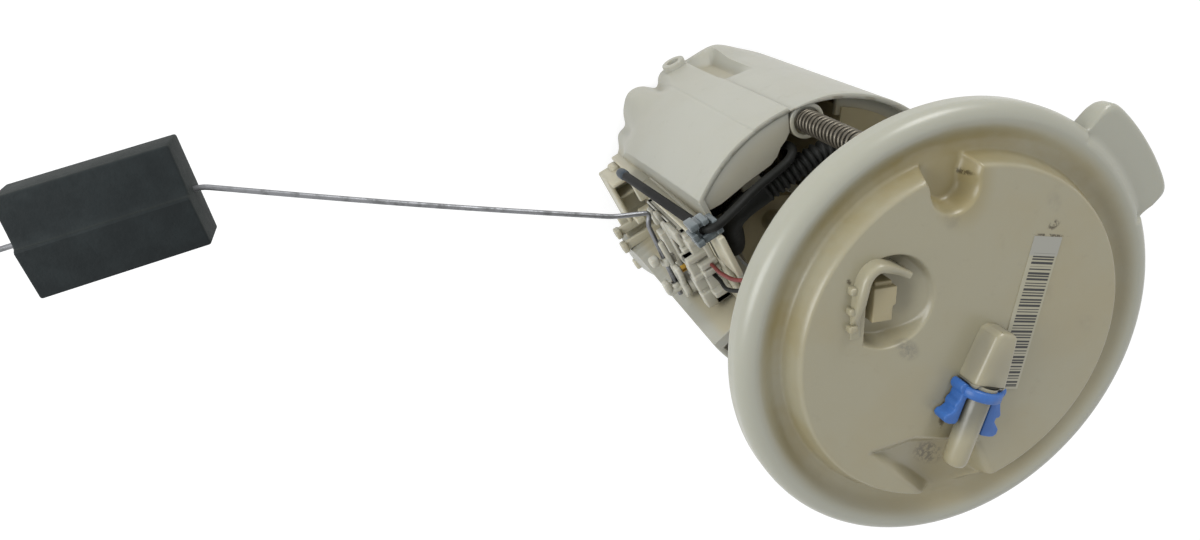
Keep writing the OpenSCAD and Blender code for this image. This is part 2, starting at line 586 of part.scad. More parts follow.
// Filter round the pump
filter_z1 = cup_top - 8;
filter_z0 = filter_z1 - filter_h;
filter_a0 = 24;
filter_a1 = 148;
module crescent(inset) difference() {
    intersection() {
        at_cup() circle(filter_out_r - inset);
        at_cup() wedge(90, filter_a0 + inset * 1.2, filter_a1 - inset * 1.2);
    }
    at_pump() circle(filter_in_r + inset);
    at_cup() circle(28 + inset);
}
module filter_case() color("beige") difference() {
    union() {
        slab(filter_z0, filter_z1) crescent(0);
        at_cup() for (a = [34, 88, 140]) rotate(a) translate([filter_out_r - 7, 0, floor_z]) cylinder(d = 6, h = filter_z0 - floor_z + 1);
    }
    slab(filter_z0 + filter_wall, filter_z1 + 1) crescent(filter_wall);
}
module filter_cap() color("beige") difference() {
    union() {
        slab(filter_z1, filter_z1 + 2.5) crescent(0);
        translate([-10, 36, filter_z1 + 2]) cylinder(d = 9, h = filter_port_z - filter_z1 - 2);
    }
    translate([-10, 36, filter_z1 - 1]) cylinder(d = 6, h = 12);
}
module filter_element() color("wheat") slab(filter_z0 + filter_wall + 1, filter_z1 - 2) crescent(filter_wall + 1.2);

holder_z = column_top;
port_xy = [-18, flat_y + cup_wall + 5];
port_h = 9;
module pump_holder() color("ivory") difference() {
    union() {
        slab(holder_z, holder_z + 3) holder_outline();
        translate([port_xy[0], port_xy[1], holder_z]) cylinder(d = 8, h = port_h + 3);
    }
    translate([port_xy[0], port_xy[1], holder_z + 1]) cylinder(d = 5, h = port_h + 3);
}
module holder_outline() difference() {
        union() {
            at_pump() circle(can_r + 3);
            intersection() {
                at_cup() circle(cup_in_r - 0.3);
                union() {
                    translate([pump_xy[0] - 70, pump_xy[1] - 4]) square([60, 9]);
                    translate([pump_xy[0] + 10, pump_xy[1] + 7.2]) square([60, 8]);
                    translate([port_xy[0] - 4, port_xy[1] - 4.4]) square([16, 24]);
                    translate([pump_xy[0] + 8, pump_xy[1] - 32]) rotate(-2) square([28, 24]);
                }
                translate([-100, flat_y + cup_wall + 0.3]) square([200, 100]);
                difference() {
                    square([300, 300], center = true);
                    for (side = [0, 1]) at_rod(side) circle(boss_r + 1.3);
                }
            }
        }
        at_pump() circle(can_r + 0.1);
        translate(reg_xy) circle(reg_r + 0.05);
}

// Pressure regulator
reg_xy = [cup_x + 29, cup_y - 26];
reg_r = 8.5;
reg_top = holder_z + 6;
reg_l = 26;
module regulator_body() color("silver") translate([reg_xy[0], reg_xy[1], reg_top - reg_l]) difference() {
    union() {
        cylinder(r = reg_r, h = reg_l);
        translate([0, 0, reg_l - 6 + 3.05]) cylinder(r = reg_r + 2, h = 2.5);
        translate([0, 0, -6]) cylinder(d = 8, h = 8);
    }
    translate([0, 0, 1.5]) cylinder(r = reg_r - 1.2, h = reg_l - 3);
    translate([0, 0, -7]) cylinder(d = 4, h = 12);
    translate([0, 0, reg_l - 2]) cylinder(d = 3, h = 4);
}
module regulator_valve() color("khaki") translate([reg_xy[0], reg_xy[1], reg_top - reg_l + 1.6]) {
    cylinder(d = 6, h = 2);
    translate([0, 0, 1.9]) cylinder(r = reg_r - 1.6, h = 1.2);
}
module regulator_spring() color("gray") translate([reg_xy[0], reg_xy[1], 0])
    tube([for (i = [0 : 60]) [3.6 * cos(36 * i), 3.6 * sin(36 * i), reg_top - reg_l + 5.5 + i * 0.27]], 0.45, 6);

// Parts on the cup's floor
jet_xy = cup_xy + [-10, 28];
module jet_pump() color("beige") translate([jet_xy[0], jet_xy[1], floor_z + 5.05]) rotate([0, 90, 0]) difference() {
    union() {
        cylinder(d = 9, h = 30);
        translate([0, 0, 30]) cylinder(d1 = 9, d2 = 6, h = 6);
        translate([-12, 0, 5]) rotate([0, 90, 0]) cylinder(d = 6, h = 10);
        translate([-1, -3, 3]) cube([6.05, 6, 22]);
    }
    translate([0, 0, 2]) cylinder(d = 5, h = 29);
    translate([0, 0, 25]) cylinder(d = 3.4, h = 14);
}
module inlet_valve() color("black") translate([valve_xy[0], valve_xy[1], 0]) {
    translate([0, 0, floor_z + 0.05]) cylinder(r1 = 8.4, r2 = 3, h = 1.6);
    translate([0, 0, cup_bottom - 1]) cylinder(d = 2.8, h = cup_floor + 2);
}
strainer_z = floor_z + 0.3;
module strainer_frame() color("whitesmoke") at_pump() difference() {
    translate([9, 0, strainer_z + 3.3]) cylinder(d = 13, h = 3);
    translate([9, 0, strainer_z + 3]) cylinder(d = 9.1, h = 5);
}
module strainer_mesh() color("lightgray") at_pump() slab(strainer_z, strainer_z + 3.2) difference() {
    union() {
        square([24, 26], center = true);
        for (s = [-1, 1]) translate([12 * s, 0]) circle(13);
    }
    translate([9, 0]) circle(3);
}

// Level sender on the cup's flat
pivot_z = -pivot_drop;
plate_y = flat_y - plate_t;
card_t = 1.4;
plate_x = -43;
plate_w = 41;
body_y = plate_y - sender_depth;
case_depth = 7;
// Fingers at the foot of the plate: place along X, reach and height above the cup's bottom
fingers = [[plate_x + 3, 9, 6], [plate_x + 6, 14, 14], [-12, 22, 8], [-7.1, 23, 15]];
module sender_plate() color("ivory") {
    difference() {
        translate([plate_x, plate_y, cup_bottom + 4]) cube([plate_w, plate_t, cup_h - 6]);
        translate([-36, plate_y - 1, cup_bottom + 22]) cube([22, plate_t + 2, 16]);
    }
    translate([plate_x, plate_y, cup_top - 4]) cube([18, plate_t, 18]);
    for (x = [plate_x, plate_x + plate_w - 2]) translate([x, plate_y - 5, cup_bottom + 4]) cube([2, 5.1, 44]);
    for (finger = fingers) translate([finger[0], plate_y - finger[1], cup_bottom + finger[2]]) {
        cube([5, finger[1] + 0.1, 2.2]);
        translate([0, 0, -1.4]) cube([5, 3, 5]);
    }
}
module sender_body() color("ivory") difference() {
    union() {
        translate([-38, plate_y - case_depth, pivot_z - 22]) cube([36, case_depth, 42]);
        translate([-24, body_y, pivot_z - 22]) cube([22, sender_depth, 42]);
        translate([pivot_x, body_y + 1, pivot_z]) rotate([90, 0, 0]) cylinder(r = 5, h = 3);
        translate([-23, body_y - 1.2, pivot_z + 12]) cube([15, 2.2, 6]);
    }
    translate([-34, plate_y - case_depth + 1.6, pivot_z - 18]) cube([card_w + 1, case_depth, 34]);
    for (x = [-30, -19]) translate([x, body_y - 4, pivot_z + 4]) cube([8, 9, 6]);
    at_pivot(plate_y - case_depth + 2) linear_extrude(sender_depth) difference() {
        wedge(wiper_r + 4.5, wiper_az - 42, wiper_az + 42);
        circle(wiper_r - 3);
    }
    translate([pivot_x, body_y + 20, pivot_z]) rotate([90, 0, 0]) cylinder(d = pivot_d + 0.12, h = 40);
}
card_w = 23.5;
wiper_r = 12;
wiper_az = 145;
module at_pivot(y) translate([pivot_x, y, pivot_z]) rotate([90, 0, 0]) children();
module resistor_card() color("dimgray") translate([-33.5, plate_y - card_t, pivot_z - 17.5]) cube([card_w, card_t, 33]);
module sender_cover() color("ivory") difference() {
    translate([-38, plate_y - case_depth, pivot_z + 20.05]) cube([30, case_depth, 5]);
    for (x = [red_x, black_x]) translate([x, exit_y, pivot_z + 19]) cylinder(d = 2.2, h = 8);
}
holder_y = body_y - 2 - seat_gap;
module arm_holder() color("ivory") difference() {
    union() {
        translate([pivot_x, holder_y, pivot_z]) rotate([90, 0, 0]) cylinder(r = 5.5, h = 2.5);
        translate([pivot_x, plate_y - 0.6, pivot_z]) rotate([90, 0, 0]) cylinder(d = pivot_d, h = plate_y - holder_y);
        translate([pivot_x - 26, holder_y - 2.5, pivot_z - 3]) cube([26, 2.5, 6]);
        for (s = [18, 28]) at_wire(s) translate([0, -2.2, -2.4]) cube([4, 3.8, 4.8]);
        at_pivot(holder_y) rotate(wiper_az) translate([3, -2.5, 0]) cube([wiper_r + 2, 5, 2.5]);
    }
    at_wire(-5) rotate([0, 90, 0]) cylinder(d = wire_d + 0.16, h = 50);
}
module wiper_contacts() color("gold") at_pivot(plate_y - card_t - seat_gap) rotate(wiper_az) for (r = [wiper_r, wiper_r + 2.4])
    translate([r, -0.8, 0]) cube([1, 1.6, plate_y - card_t - seat_gap - holder_y]);

// Float arm: hooked end in the holder, a bend at the elbow, the long run and the float's spindle
wire_y = holder_y - 4;
elbow = [-43, -54.4, pivot_z];
wire_end = [pivot_x - 4, wire_y, pivot_z];
wire_dir = unit(wire_end - elbow);
module at_wire(s) translate(elbow + s * wire_dir) rotate([0, 0, atan2(wire_dir[1], wire_dir[0])]) children();
float_near = [-143, -187.2, pivot_z];
spindle_az = 256;
spindle_l = float_l + 12;
float_gap = 2.5;
kink = [-50, -68, pivot_z];
arm_path = concat(
    [wire_end, wire_end - 8 * wire_dir, elbow + 8 * wire_dir, elbow + 3 * wire_dir, elbow + [0.5, -0.5, 0],
    elbow + [-1.2, -2.8, 0], kink],
    [for (s = [0.1, 0.3, 0.5, 0.7, 0.9]) kink + s * (float_near - kink) + [0, 0, 2.5 * sin(180 * s)]],
    [float_near]);
module float_arm() color("gray") {
    tube(arm_path, wire_d / 2, 10);
    translate(float_near) rotate([0, 90, spindle_az]) cylinder(d = wire_d, h = spindle_l);
}
module float() color("darkslategray") translate(float_near) rotate([0, 0, spindle_az]) difference() {
    translate([float_gap, 0, 0]) rotate([90, 0, 90]) linear_extrude(float_l)
        polygon([[-float_b / 2, -float_h / 2], [float_b / 2, -float_h / 2], [float_b / 2, float_h / 2 - 3],
            [4, float_h / 2 + 1], [-float_b / 2, float_h / 2 - 1]]);
    translate([-1, 0, 0]) rotate([0, 90, 0]) cylinder(d = wire_d + 2 * float_clear, h = float_l + 10);
}

// Thermistor beside the sender, and its lead
therm_xy = [-47.2, flat_y - 3.4];
therm_top = cup_top - 2;
clip_d = plate_y - 0.05 - therm_xy[1] + 4.6;
module thermistor() color("darkslategray") translate([therm_xy[0], therm_xy[1], cup_bottom + 8]) rotate_extrude()
    polygon(concat([[0, -2.7]], arc([0, 0], 2.7, -75, 0), [[2.7, 10], [0, 10]]));
module thermistor_sleeve() color("black") translate([therm_xy[0], therm_xy[1], cup_bottom + 18.05]) cylinder(d = 4, h = therm_top - cup_bottom - 18.1);
module thermistor_clip() color("silver") translate([therm_xy[0], therm_xy[1], therm_top]) {
    translate([-3.5, -4.6, 0]) cube([9, clip_d, 9]);
    translate([-3.5, -4.6, 11]) cube([9, clip_d, 5]);
    translate([-2, -3.6, 8.9]) cube([6, 3, 2.2]);
}
lead_route = [[-46.5, -46.5, -45.9], [-46.5, -46.5, -44], [-46.5, -46.5, -42], [-48, -40, -40.5], [-50, -32, -45], [-51, -24, -52], [-51, -14, -57],
    [-50.6, -6, -60], [-50.2, -3, -72], [-47.5, -9, -84], [-45, -10.5, holder_z + 9.5], [-44, -10.5, holder_z + 6.5], [-44, -10.5, holder_z + 3.1]];
module thermistor_lead() color("black") tube(spline(lead_route, 3), 2.1, 8);

// Corrugated fuel hose from the cover's barb to the filter's outlet
port_top = holder_z + port_h + 3.2;
function hose_z(part) = cup_top + 3 + part * (port_top - cup_top - 3);
hose_route = [[barb_xy[0], barb_xy[1], barb_z - 0.2], [barb_xy[0], barb_xy[1], barb_z - 3], [barb_xy[0], barb_xy[1], barb_z - 6],
    [5, 9, -32], [-4, 16, -39], [-16, 22, -45.5], [-29, 23, -51], [-39, 18.5, -56], [-43.3, 9, hose_z(0.06)], [-43.5, -3, hose_z(0.09)],
    [-43.3, -14, hose_z(0.13)], [-42, -24, hose_z(0.16)], [-39, -30, hose_z(0.22)], [-34, -32.9, hose_z(0.31)], [-27, -33.3, hose_z(0.43)],
    [-20.5, -33.6, hose_z(0.6)], [port_xy[0], port_xy[1], port_top + 7], [port_xy[0], port_xy[1], port_top + 3.6],
    [port_xy[0], port_xy[1], port_top]];
module fuel_hose() color("black") tube(spline(hose_route, 3), 4.6, 10);

// Wires between the cover and the sender and pump
exit_z = pivot_z + 25;
red_x = -29;
black_x = -17;
exit_y = plate_y - 3.4;
red_route = concat(wire_start(0), [[-31.5, -20, -19], [-30, -31, -30], [-29, -45.5, -43], [red_x, exit_y - 0.4, -55],
    [red_x, exit_y, exit_z + 5], [red_x, exit_y, exit_z + 2], [red_x, exit_y, exit_z - 2]]);
black_route = concat(wire_start(1), [[-28, -21, -19], [-24, -33, -31], [-20, -43, -44], [black_x, exit_y - 0.4, -56],
    [black_x, exit_y, exit_z + 5], [black_x, exit_y, exit_z + 2], [black_x, exit_y, exit_z - 2]]);
module sender_wire_red() color("darkred") tube(spline(red_route, 3), 0.8, 8);
module sender_wire_black() color("black") tube(spline(black_route, 3), 0.8, 8);
lead_end_z = can_top + 2.2;
lead_a_route = concat(wire_start(2), [[-22, -14, -24], [-10, -6, -42], [0, -2.6, -62], [3.1, -2.2, lead_end_z + 15], [3.1, -2.2, lead_end_z + 7], [3.1, -2.2, lead_end_z]]);
lead_b_route = concat(wire_start(3), [[-18, -19, -24], [-8, -18, -42], [1, -19.6, -62], [3.1, -20.2, lead_end_z + 15], [3.1, -20.2, lead_end_z + 7], [3.1, -20.2, lead_end_z]]);
module pump_leads() color("firebrick") {
    tube(spline(lead_a_route, 3), 1, 8);
    tube(spline(lead_b_route, 3), 1, 8);
}

flange();
seal_ring();
terminal_block();
connector_pins();
retainer_clip();
label();
guide_rod(0);  // guide_rod_left
guide_rod(1);  // guide_rod_right
rod_clips();
spring(0);  // spring_left
spring(1);  // spring_right
lower_plug();
reservoir_cup();
slide_bushes();
pump_holder();
filter_case();
filter_cap();
filter_element();
pump_can();
pump_top_cover();
pump_inlet_cover();
impeller_casing();
magnets();
pump_bushes();
brushes();
armature();
windings();
commutator();
pump_shaft();
impeller();
pump_pipe();
check_valve();
regulator_body();
regulator_valve();
regulator_spring();
jet_pump();
inlet_valve();
strainer_frame();
strainer_mesh();
sender_plate();
sender_body();
resistor_card();
sender_cover();
arm_holder();
wiper_contacts();
float_arm();
float();
thermistor();
thermistor_sleeve();
thermistor_clip();
thermistor_lead();
fuel_hose();
sender_wire_red();
sender_wire_black();
pump_leads();
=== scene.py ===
import json
import math

import bmesh
import bpy
import numpy as np
from mathutils import Matrix, Vector


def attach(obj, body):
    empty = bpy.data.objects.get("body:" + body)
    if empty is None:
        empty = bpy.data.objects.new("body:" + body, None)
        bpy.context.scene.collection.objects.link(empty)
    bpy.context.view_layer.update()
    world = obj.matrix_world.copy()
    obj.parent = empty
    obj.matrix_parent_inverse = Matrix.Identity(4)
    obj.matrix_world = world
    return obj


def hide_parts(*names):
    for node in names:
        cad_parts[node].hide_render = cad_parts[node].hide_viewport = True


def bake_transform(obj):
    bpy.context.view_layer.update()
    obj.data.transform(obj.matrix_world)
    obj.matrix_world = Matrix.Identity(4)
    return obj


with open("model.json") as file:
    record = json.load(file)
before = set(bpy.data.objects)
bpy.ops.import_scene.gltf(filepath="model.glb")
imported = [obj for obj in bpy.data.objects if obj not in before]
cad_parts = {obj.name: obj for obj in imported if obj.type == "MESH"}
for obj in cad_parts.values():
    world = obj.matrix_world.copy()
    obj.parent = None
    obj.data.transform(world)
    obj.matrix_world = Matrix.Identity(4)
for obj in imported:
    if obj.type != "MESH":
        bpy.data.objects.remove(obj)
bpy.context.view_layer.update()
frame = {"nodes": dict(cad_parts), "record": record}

MM = 0.001
NODES = frame["nodes"]

# Sizes from the part's source, in millimetres
FLANGE_R = 75.0
RIM_H = 11.0
RIM_ROUND = 5.0
SPIGOT_R = 62.0
SPIGOT_WALL = 2.5
SPIGOT_DEPTH = 14.0
COVER_WALL = 3.0
DISC_R = 59.0
DISC_H = 14.8
MOAT_H = 7.4
EAR_R = 87.0
EAR_AZ = 103.5
EAR_SPAN = 31.0
NOTCH_AZ = 163.5
NOTCH_IN_R = 45.5
NOTCH_W = 12.5
SEAL_IN_R = 64.0
SEAL_W = 5.0
SOCKET_XY = (-31.0, -24.5)
SOCKET_AZ = 63.4
SCOOP_L = 23.0
SCOOP_R = 15.0
SCOOP_Z = 6.8
LIP_H = 4.5
OUTLET_XY = (3.1, 9.0)
OUTLET_AZ = -43.0
NIPPLE_Z = 19.8
NIPPLE_R = 3.95
NECK_R = 3.5
CUP_XY = (-6.9, -3.2)
CUP_R = 59.5
CUP_TOP = -60.0
CUP_BOTTOM = -172.0
ROD_R = 51.5
ROD_AZ = 166.6
SPRING_D = 9.0
SPRING_WIRE = 1.3
SPRING_TURNS = 20
FEET_Z = -174.5
PIVOT = (-6.4, -57.0, -94.0)
MOAT_R = 61.5
BEVEL_STEPS = 3

# Camera of the photograph, with its place in millimetres
LENS = 26.97
LENS_SHIFT = -0.057
CAMERA_PLACE = (-199.93, -95.68, 229.56)
CAMERA_RIGHT = (0.4577, 0.8477, 0.2683)
CAMERA_UP = (-0.7945, 0.5253, -0.3045)


def make_camera():
    data = bpy.data.cameras.new("photo_camera")
    data.sensor_fit = "HORIZONTAL"
    data.sensor_width = 36.0
    data.lens = LENS
    data.shift_y = LENS_SHIFT
    data.clip_start = 0.01
    data.clip_end = 20.0
    data.dof.use_dof = False
    cam = bpy.data.objects.new("photo_camera", data)
    right = Vector(CAMERA_RIGHT).normalized()
    up = Vector(CAMERA_UP)
    up = (up - right * up.dot(right)).normalized()
    back = right.cross(up)
    turn = Matrix((right, up, back)).transposed().to_4x4()
    cam.matrix_world = Matrix.Translation(Vector(CAMERA_PLACE) * MM) @ turn
    bpy.context.scene.collection.objects.link(cam)
    bpy.context.scene.camera = cam


# Node helpers
class Nodes:
    def __init__(self, name):
        self.mat = bpy.data.materials.new(name)
        self.mat.use_nodes = True
        self.tree = self.mat.node_tree
        self.shader = self.tree.nodes["Principled BSDF"]
        self.point = self.tree.nodes.new("ShaderNodeTexCoord").outputs["Object"]
        self.base = None

    def add(self, kind, **inputs):
        node = self.tree.nodes.new(kind)
        for key, value in inputs.items():
            self.set(node.inputs[key], value)
        return node

    def set(self, socket, value):
        if isinstance(value, bpy.types.NodeSocket):
            self.tree.links.new(value, socket)
        else:
            socket.default_value = value

    def shade(self, **values):
        for key, value in values.items():
            self.set(self.shader.inputs[key.replace("_", " ")], value)

    def look(self, base, rough, normal=None):
        self.base = base
        self.shade(Base_Color=base, Roughness=rough)
        if normal is not None:
            self.shade(Normal=normal)
        return self.mat

    def math(self, operation, a, b=0.0):
        node = self.tree.nodes.new("ShaderNodeMath")
        node.operation = operation
        self.set(node.inputs[0], a)
        self.set(node.inputs[1], b)
        return node.outputs[0]

    def times(self, a, b):
        return self.math("MULTIPLY", a, b)

    def plus(self, a, b):
        return self.math("ADD", a, b)

    def noise(self, scale, detail=3.0, rough=0.55, stretch=None):
        vector = self.point
        if stretch:
            vector = self.add("ShaderNodeMapping", Vector=self.point, Scale=stretch).outputs[0]
        node = self.add("ShaderNodeTexNoise", Vector=vector, Scale=scale, Detail=detail, Roughness=rough)
        return node.outputs["Fac"]

    def ramp(self, value, low, high):
        node = self.add("ShaderNodeMapRange", Value=value)
        node.interpolation_type = "SMOOTHSTEP"
        node.inputs["From Min"].default_value = low
        node.inputs["From Max"].default_value = high
        return node.outputs[0]

    def spot(self, centre, radii, soft=0.5, turn=0.0):
        # 1 inside an ellipsoid about centre, in millimetres, fading to 0 outside it
        mapping = self.add("ShaderNodeMapping", Vector=self.point)
        mapping.vector_type = "TEXTURE"
        mapping.inputs["Location"].default_value = [v * MM for v in centre]
        mapping.inputs["Rotation"].default_value = (0, 0, math.radians(turn))
        mapping.inputs["Scale"].default_value = [v * MM for v in radii]
        node = self.tree.nodes.new("ShaderNodeVectorMath")
        node.operation = "LENGTH"
        self.tree.links.new(mapping.outputs[0], node.inputs[0])
        return self.ramp(node.outputs["Value"], 1.0 + soft, 1.0 - soft)

    def mix(self, factor, a, b):
        node = self.tree.nodes.new("ShaderNodeMix")
        node.data_type = "RGBA"
        self.set(node.inputs["Factor"], factor)
        self.set(node.inputs["A"], a)
        self.set(node.inputs["B"], b)
        return node.outputs["Result"]

    def bump(self, height, distance, strength):
        return self.add("ShaderNodeBump", Height=height, Distance=distance, Strength=strength).outputs[0]


def rgb(text):
    parts = [int(text[i:i + 2], 16) / 255.0 for i in (1, 3, 5)]
    return [v / 12.92 if v <= 0.04045 else ((v + 0.055) / 1.055) ** 2.4 for v in parts] + [1.0]


def moulded_plastic(name, light, stain, rough, stain_amount):
    n = Nodes(name)
    patches = n.ramp(n.noise(22.0, 4.0, 0.6), 0.42, 0.7)
    base = n.mix(n.times(patches, stain_amount), rgb(light), rgb(stain))
    specks = n.ramp(n.noise(160.0, 5.0, 0.7), 0.58, 0.75)
    base = n.mix(n.times(specks, 0.18), base, rgb("#7d7763"))
    grain = n.plus(n.times(n.noise(900.0, 2.0, 0.6), 0.25), n.noise(70.0))
    n.look(base, n.plus(rough, n.times(n.noise(60.0), 0.14)), n.bump(grain, 0.00012, 0.5))
    n.shade(Subsurface_Weight=0.12, Subsurface_Radius=(0.004, 0.003, 0.0018), Subsurface_Scale=1.0)
    return n


def plan_radius(n, x, y):
    return n.math("SQRT", n.plus(n.times(x, x), n.times(y, y)))


# Marks on the cover plate: centre, radii, turn and amount
SMUDGES = (
    ((-9, -18.5, 14.8), (4.2, 2.6, 3), 20, 0.5),
    ((-41, 10, 14.8), (3.2, 2.4, 3), 0, 0.22),
    ((-26, 43, 14.8), (3.4, 2.2, 3), 10, 0.16),
    ((2, 30, 14.8), (4.5, 3.2, 3), 0, 0.1),
    ((22, 40, 14.8), (4, 3, 3), 0, 0.08),
)
SPECKS = (
    ((38.6, -24.0, 9), (6.5, 3.5, 8), 30, 0.6),
    ((-18.6, 40.4, 14.8), (1.3, 2.0, 2), 0, 0.9),
    ((-15.9, 38.2, 14.8), (5.6, 0.45, 2), 53, 0.9),
    ((20.5, -16.0, 14.8), (5.5, 1.3, 2), -30, 0.85),
    ((-49.5, 21.5, 8), (1.6, 0.9, 6), 60, 0.8),
    ((-42.1, -26.6, 15.2), (1.0, 0.7, 3), 0, 0.8),
)


def marked(n, base, marks, soft, grain, low, high, colour):
    for centre, size, turn, amount in marks:
        mark = n.times(n.spot(centre, size, soft, turn), n.ramp(n.noise(grain, 3.0, 0.7), low, high))
        base = n.mix(n.times(mark, amount), base, rgb(colour))
    return base


def cover_plastic():
    n = moulded_plastic("cover_plastic", "#99937c", "#978c6d", 0.24, 0.5)
    axes = n.add("ShaderNodeSeparateXYZ", Vector=n.point)
    radius = plan_radius(n, axes.outputs[0], axes.outputs[1])
    # Darker yellow in the moat, stronger on its left side and broken up by noise, and in the notch and the
    # pocket: partly the yellowed tone of these hollows, partly painted shade
    groove = n.times(n.ramp(radius, 0.055, 0.060), n.ramp(radius, 0.069, 0.063))
    broken = n.ramp(n.noise(30.0, 4.0, 0.6), 0.3, 0.66)
    left = n.ramp(axes.outputs[0], 0.03, -0.03)
    yellow_hollow_shade = n.times(groove, n.times(broken, n.plus(0.35, n.times(left, 0.5))))
    notch = n.spot((-50, 17.5, 10), (13, 9, 12), 0.45, 161)
    pocket = n.spot((42, -22, 9), (13, 10, 12), 0.5)
    yellow_hollow_shade = n.math("MAXIMUM", yellow_hollow_shade, n.times(notch, 0.7))
    yellow_hollow_shade = n.math("MAXIMUM", yellow_hollow_shade, n.times(pocket, 0.55))
    # The rolled rim is painted lighter and greyer than the disc: partly the plastic's own tone, partly a
    # painted sheen
    base = n.mix(n.ramp(radius, 0.0655, 0.0705), n.base, rgb("#9f9e90"))
    base = n.mix(yellow_hollow_shade, base, rgb("#8a7c50"))
    base = marked(n, base, SMUDGES, 0.5, 420.0, 0.3, 0.62, "#5b5a55")
    pipe = n.spot((20.7, -7.4, 19.8), (13, 6, 4.4), 0.25, -43)
    hood = n.spot((8.9, 3.5, 18.5), (12, 8, 4.6), 0.25, -43)
    base = n.mix(n.times(pipe, 0.85), base, rgb("#68675d"))
    base = n.mix(n.times(hood, 0.5), base, rgb("#76736a"))
    base = marked(n, base, SPECKS, 0.45, 520.0, 0.42, 0.56, "#3a2f1a")
    n.shade(Base_Color=base)
    return n.mat


def cup_plastic():
    n = moulded_plastic("cup_plastic", "#a6a59a", "#9f9b8b", 0.36, 0.3)
    axes = n.add("ShaderNodeSeparateXYZ", Vector=n.point)
    x = n.plus(axes.outputs[0], -CUP_XY[0] * MM)
    y = n.plus(axes.outputs[1], -CUP_XY[1] * MM)
    radius = plan_radius(n, x, y)
    top = n.ramp(axes.outputs[2], (CUP_TOP - 0.5) * MM, (CUP_TOP - 0.1) * MM)
    rim = n.times(top, n.ramp(radius, 0.0588, 0.0584))
    rim = n.times(rim, n.ramp(n.noise(130.0, 4.0, 0.7), 0.47, 0.66))
    below = n.ramp(axes.outputs[2], (CUP_TOP + 0.4) * MM, (CUP_TOP - 1.6) * MM)
    deep = n.times(n.ramp(radius, 0.0568, 0.052), below)
    base = n.mix(n.times(deep, 0.75), n.base, rgb("#a89f84"))
    base = n.mix(n.times(rim, 0.45), base, rgb("#6a5f45"))
    n.shade(Base_Color=base)
    return n.mat


def rubber(name, colour, rough, grain=600.0, depth=0.0002, shine=0.5):
    n = Nodes(name)
    n.shade(Specular_IOR_Level=shine)
    cloud = n.ramp(n.noise(grain * 0.12, 4.0, 0.6), 0.35, 0.75)
    light = [min(1.0, v * 1.9 + 0.006) for v in rgb(colour)[:3]] + [1.0]
    base = n.mix(n.times(cloud, 0.5), rgb(colour), light)
    normal = n.bump(n.noise(grain, 3.0, 0.65), depth, 0.6)
    return n.look(base, n.plus(rough, n.times(n.noise(grain * 0.3), 0.2)), normal)


def foam():
    # Closed-cell block: faces that point up are painted darker and bluer than the sides, as painted shade
    n = Nodes("float_rubber")
    geometry = n.add("ShaderNodeNewGeometry")
    up = n.add("ShaderNodeSeparateXYZ", Vector=geometry.outputs["Normal"])
    # Painted shade: 1 on faces that point up, which take the darker colour
    up_faces_shade = n.ramp(up.outputs[2], 0.5, 0.8)
    cloud = n.times(n.ramp(n.noise(110.0, 4.0, 0.6), 0.35, 0.75), 0.5)
    side = n.mix(cloud, rgb("#252928"), rgb("#313534"))
    top = n.mix(cloud, rgb("#1b2021"), rgb("#272d2e"))
    n.shade(Specular_IOR_Level=0.25)
    normal = n.bump(n.noise(900.0, 3.0, 0.65), 0.00035, 0.6)
    return n.look(n.mix(up_faces_shade, side, top), n.plus(0.7, n.times(n.noise(270.0), 0.2)), normal)


def metal(name, colour, dull, rough, stretch=(1, 1, 1)):
    n = Nodes(name)
    worn = n.ramp(n.noise(260.0, 4.0, 0.65, stretch), 0.4, 0.72)
    base = n.mix(n.times(worn, 0.7), rgb(colour), rgb(dull))
    n.shade(Metallic=1.0)
    normal = n.bump(n.noise(1500.0, 2.0, 0.5, stretch), 0.00003, 0.6)
    return n.look(base, n.plus(rough, n.times(worn, 0.25)), normal)


def flat_grain(name, colour, other, rough, scale):
    n = Nodes(name)
    cloud = n.ramp(n.noise(scale, 4.0, 0.65), 0.35, 0.7)
    base = n.mix(n.times(cloud, 0.5), rgb(colour), rgb(other))
    normal = n.bump(n.noise(scale * 3, 2.0), 0.00006, 0.6)
    return n.look(base, n.plus(rough, n.times(n.noise(scale * 0.7, 2.0), 0.15)), normal)


def label_paper():
    # White film with plain bars that encode nothing
    n = Nodes("label_paper")
    mapping = n.add("ShaderNodeMapping", Vector=n.point)
    mapping.vector_type = "TEXTURE"
    mapping.inputs["Location"].default_value = (0.00525, 0.0216, 0.0148)
    mapping.inputs["Rotation"].default_value = (0, 0, math.radians(-36.7))
    axes = n.add("ShaderNodeSeparateXYZ", Vector=mapping.outputs[0])
    along = axes.outputs[0]
    across = axes.outputs[1]
    waves = [n.math("SINE", n.times(along, rate)) for rate in (5600.0, 3470.0, 1310.0)]
    wave = n.plus(n.plus(waves[0], waves[1]), n.times(waves[2], 0.6))
    bars = n.ramp(wave, -0.05, 0.15)
    band = n.times(n.ramp(across, -0.0039, -0.0037), n.ramp(across, 0.0046, 0.0044))
    ends = n.times(n.ramp(along, -0.0210, -0.0208), n.ramp(along, 0.0258, 0.0256))
    ink = n.times(bars, n.times(band, ends))
    paper = n.mix(n.ramp(n.noise(50.0), 0.4, 0.7), rgb("#a7a28e"), rgb("#9e9983"))
    paper = n.mix(n.ramp(along, -0.0195, -0.0205), paper, rgb("#98968c"))
    return n.look(n.mix(ink, paper, rgb("#232323")), n.plus(0.34, n.times(n.noise(140.0), 0.1)))


def clear_grey():
    n = Nodes("clear_grey_plastic")
    n.shade(Transmission_Weight=0.45, IOR=1.45)
    base = n.mix(n.noise(120.0), rgb("#8d9698"), rgb("#6f787b"))
    return n.look(base, n.plus(0.18, n.times(n.noise(90.0), 0.1)))


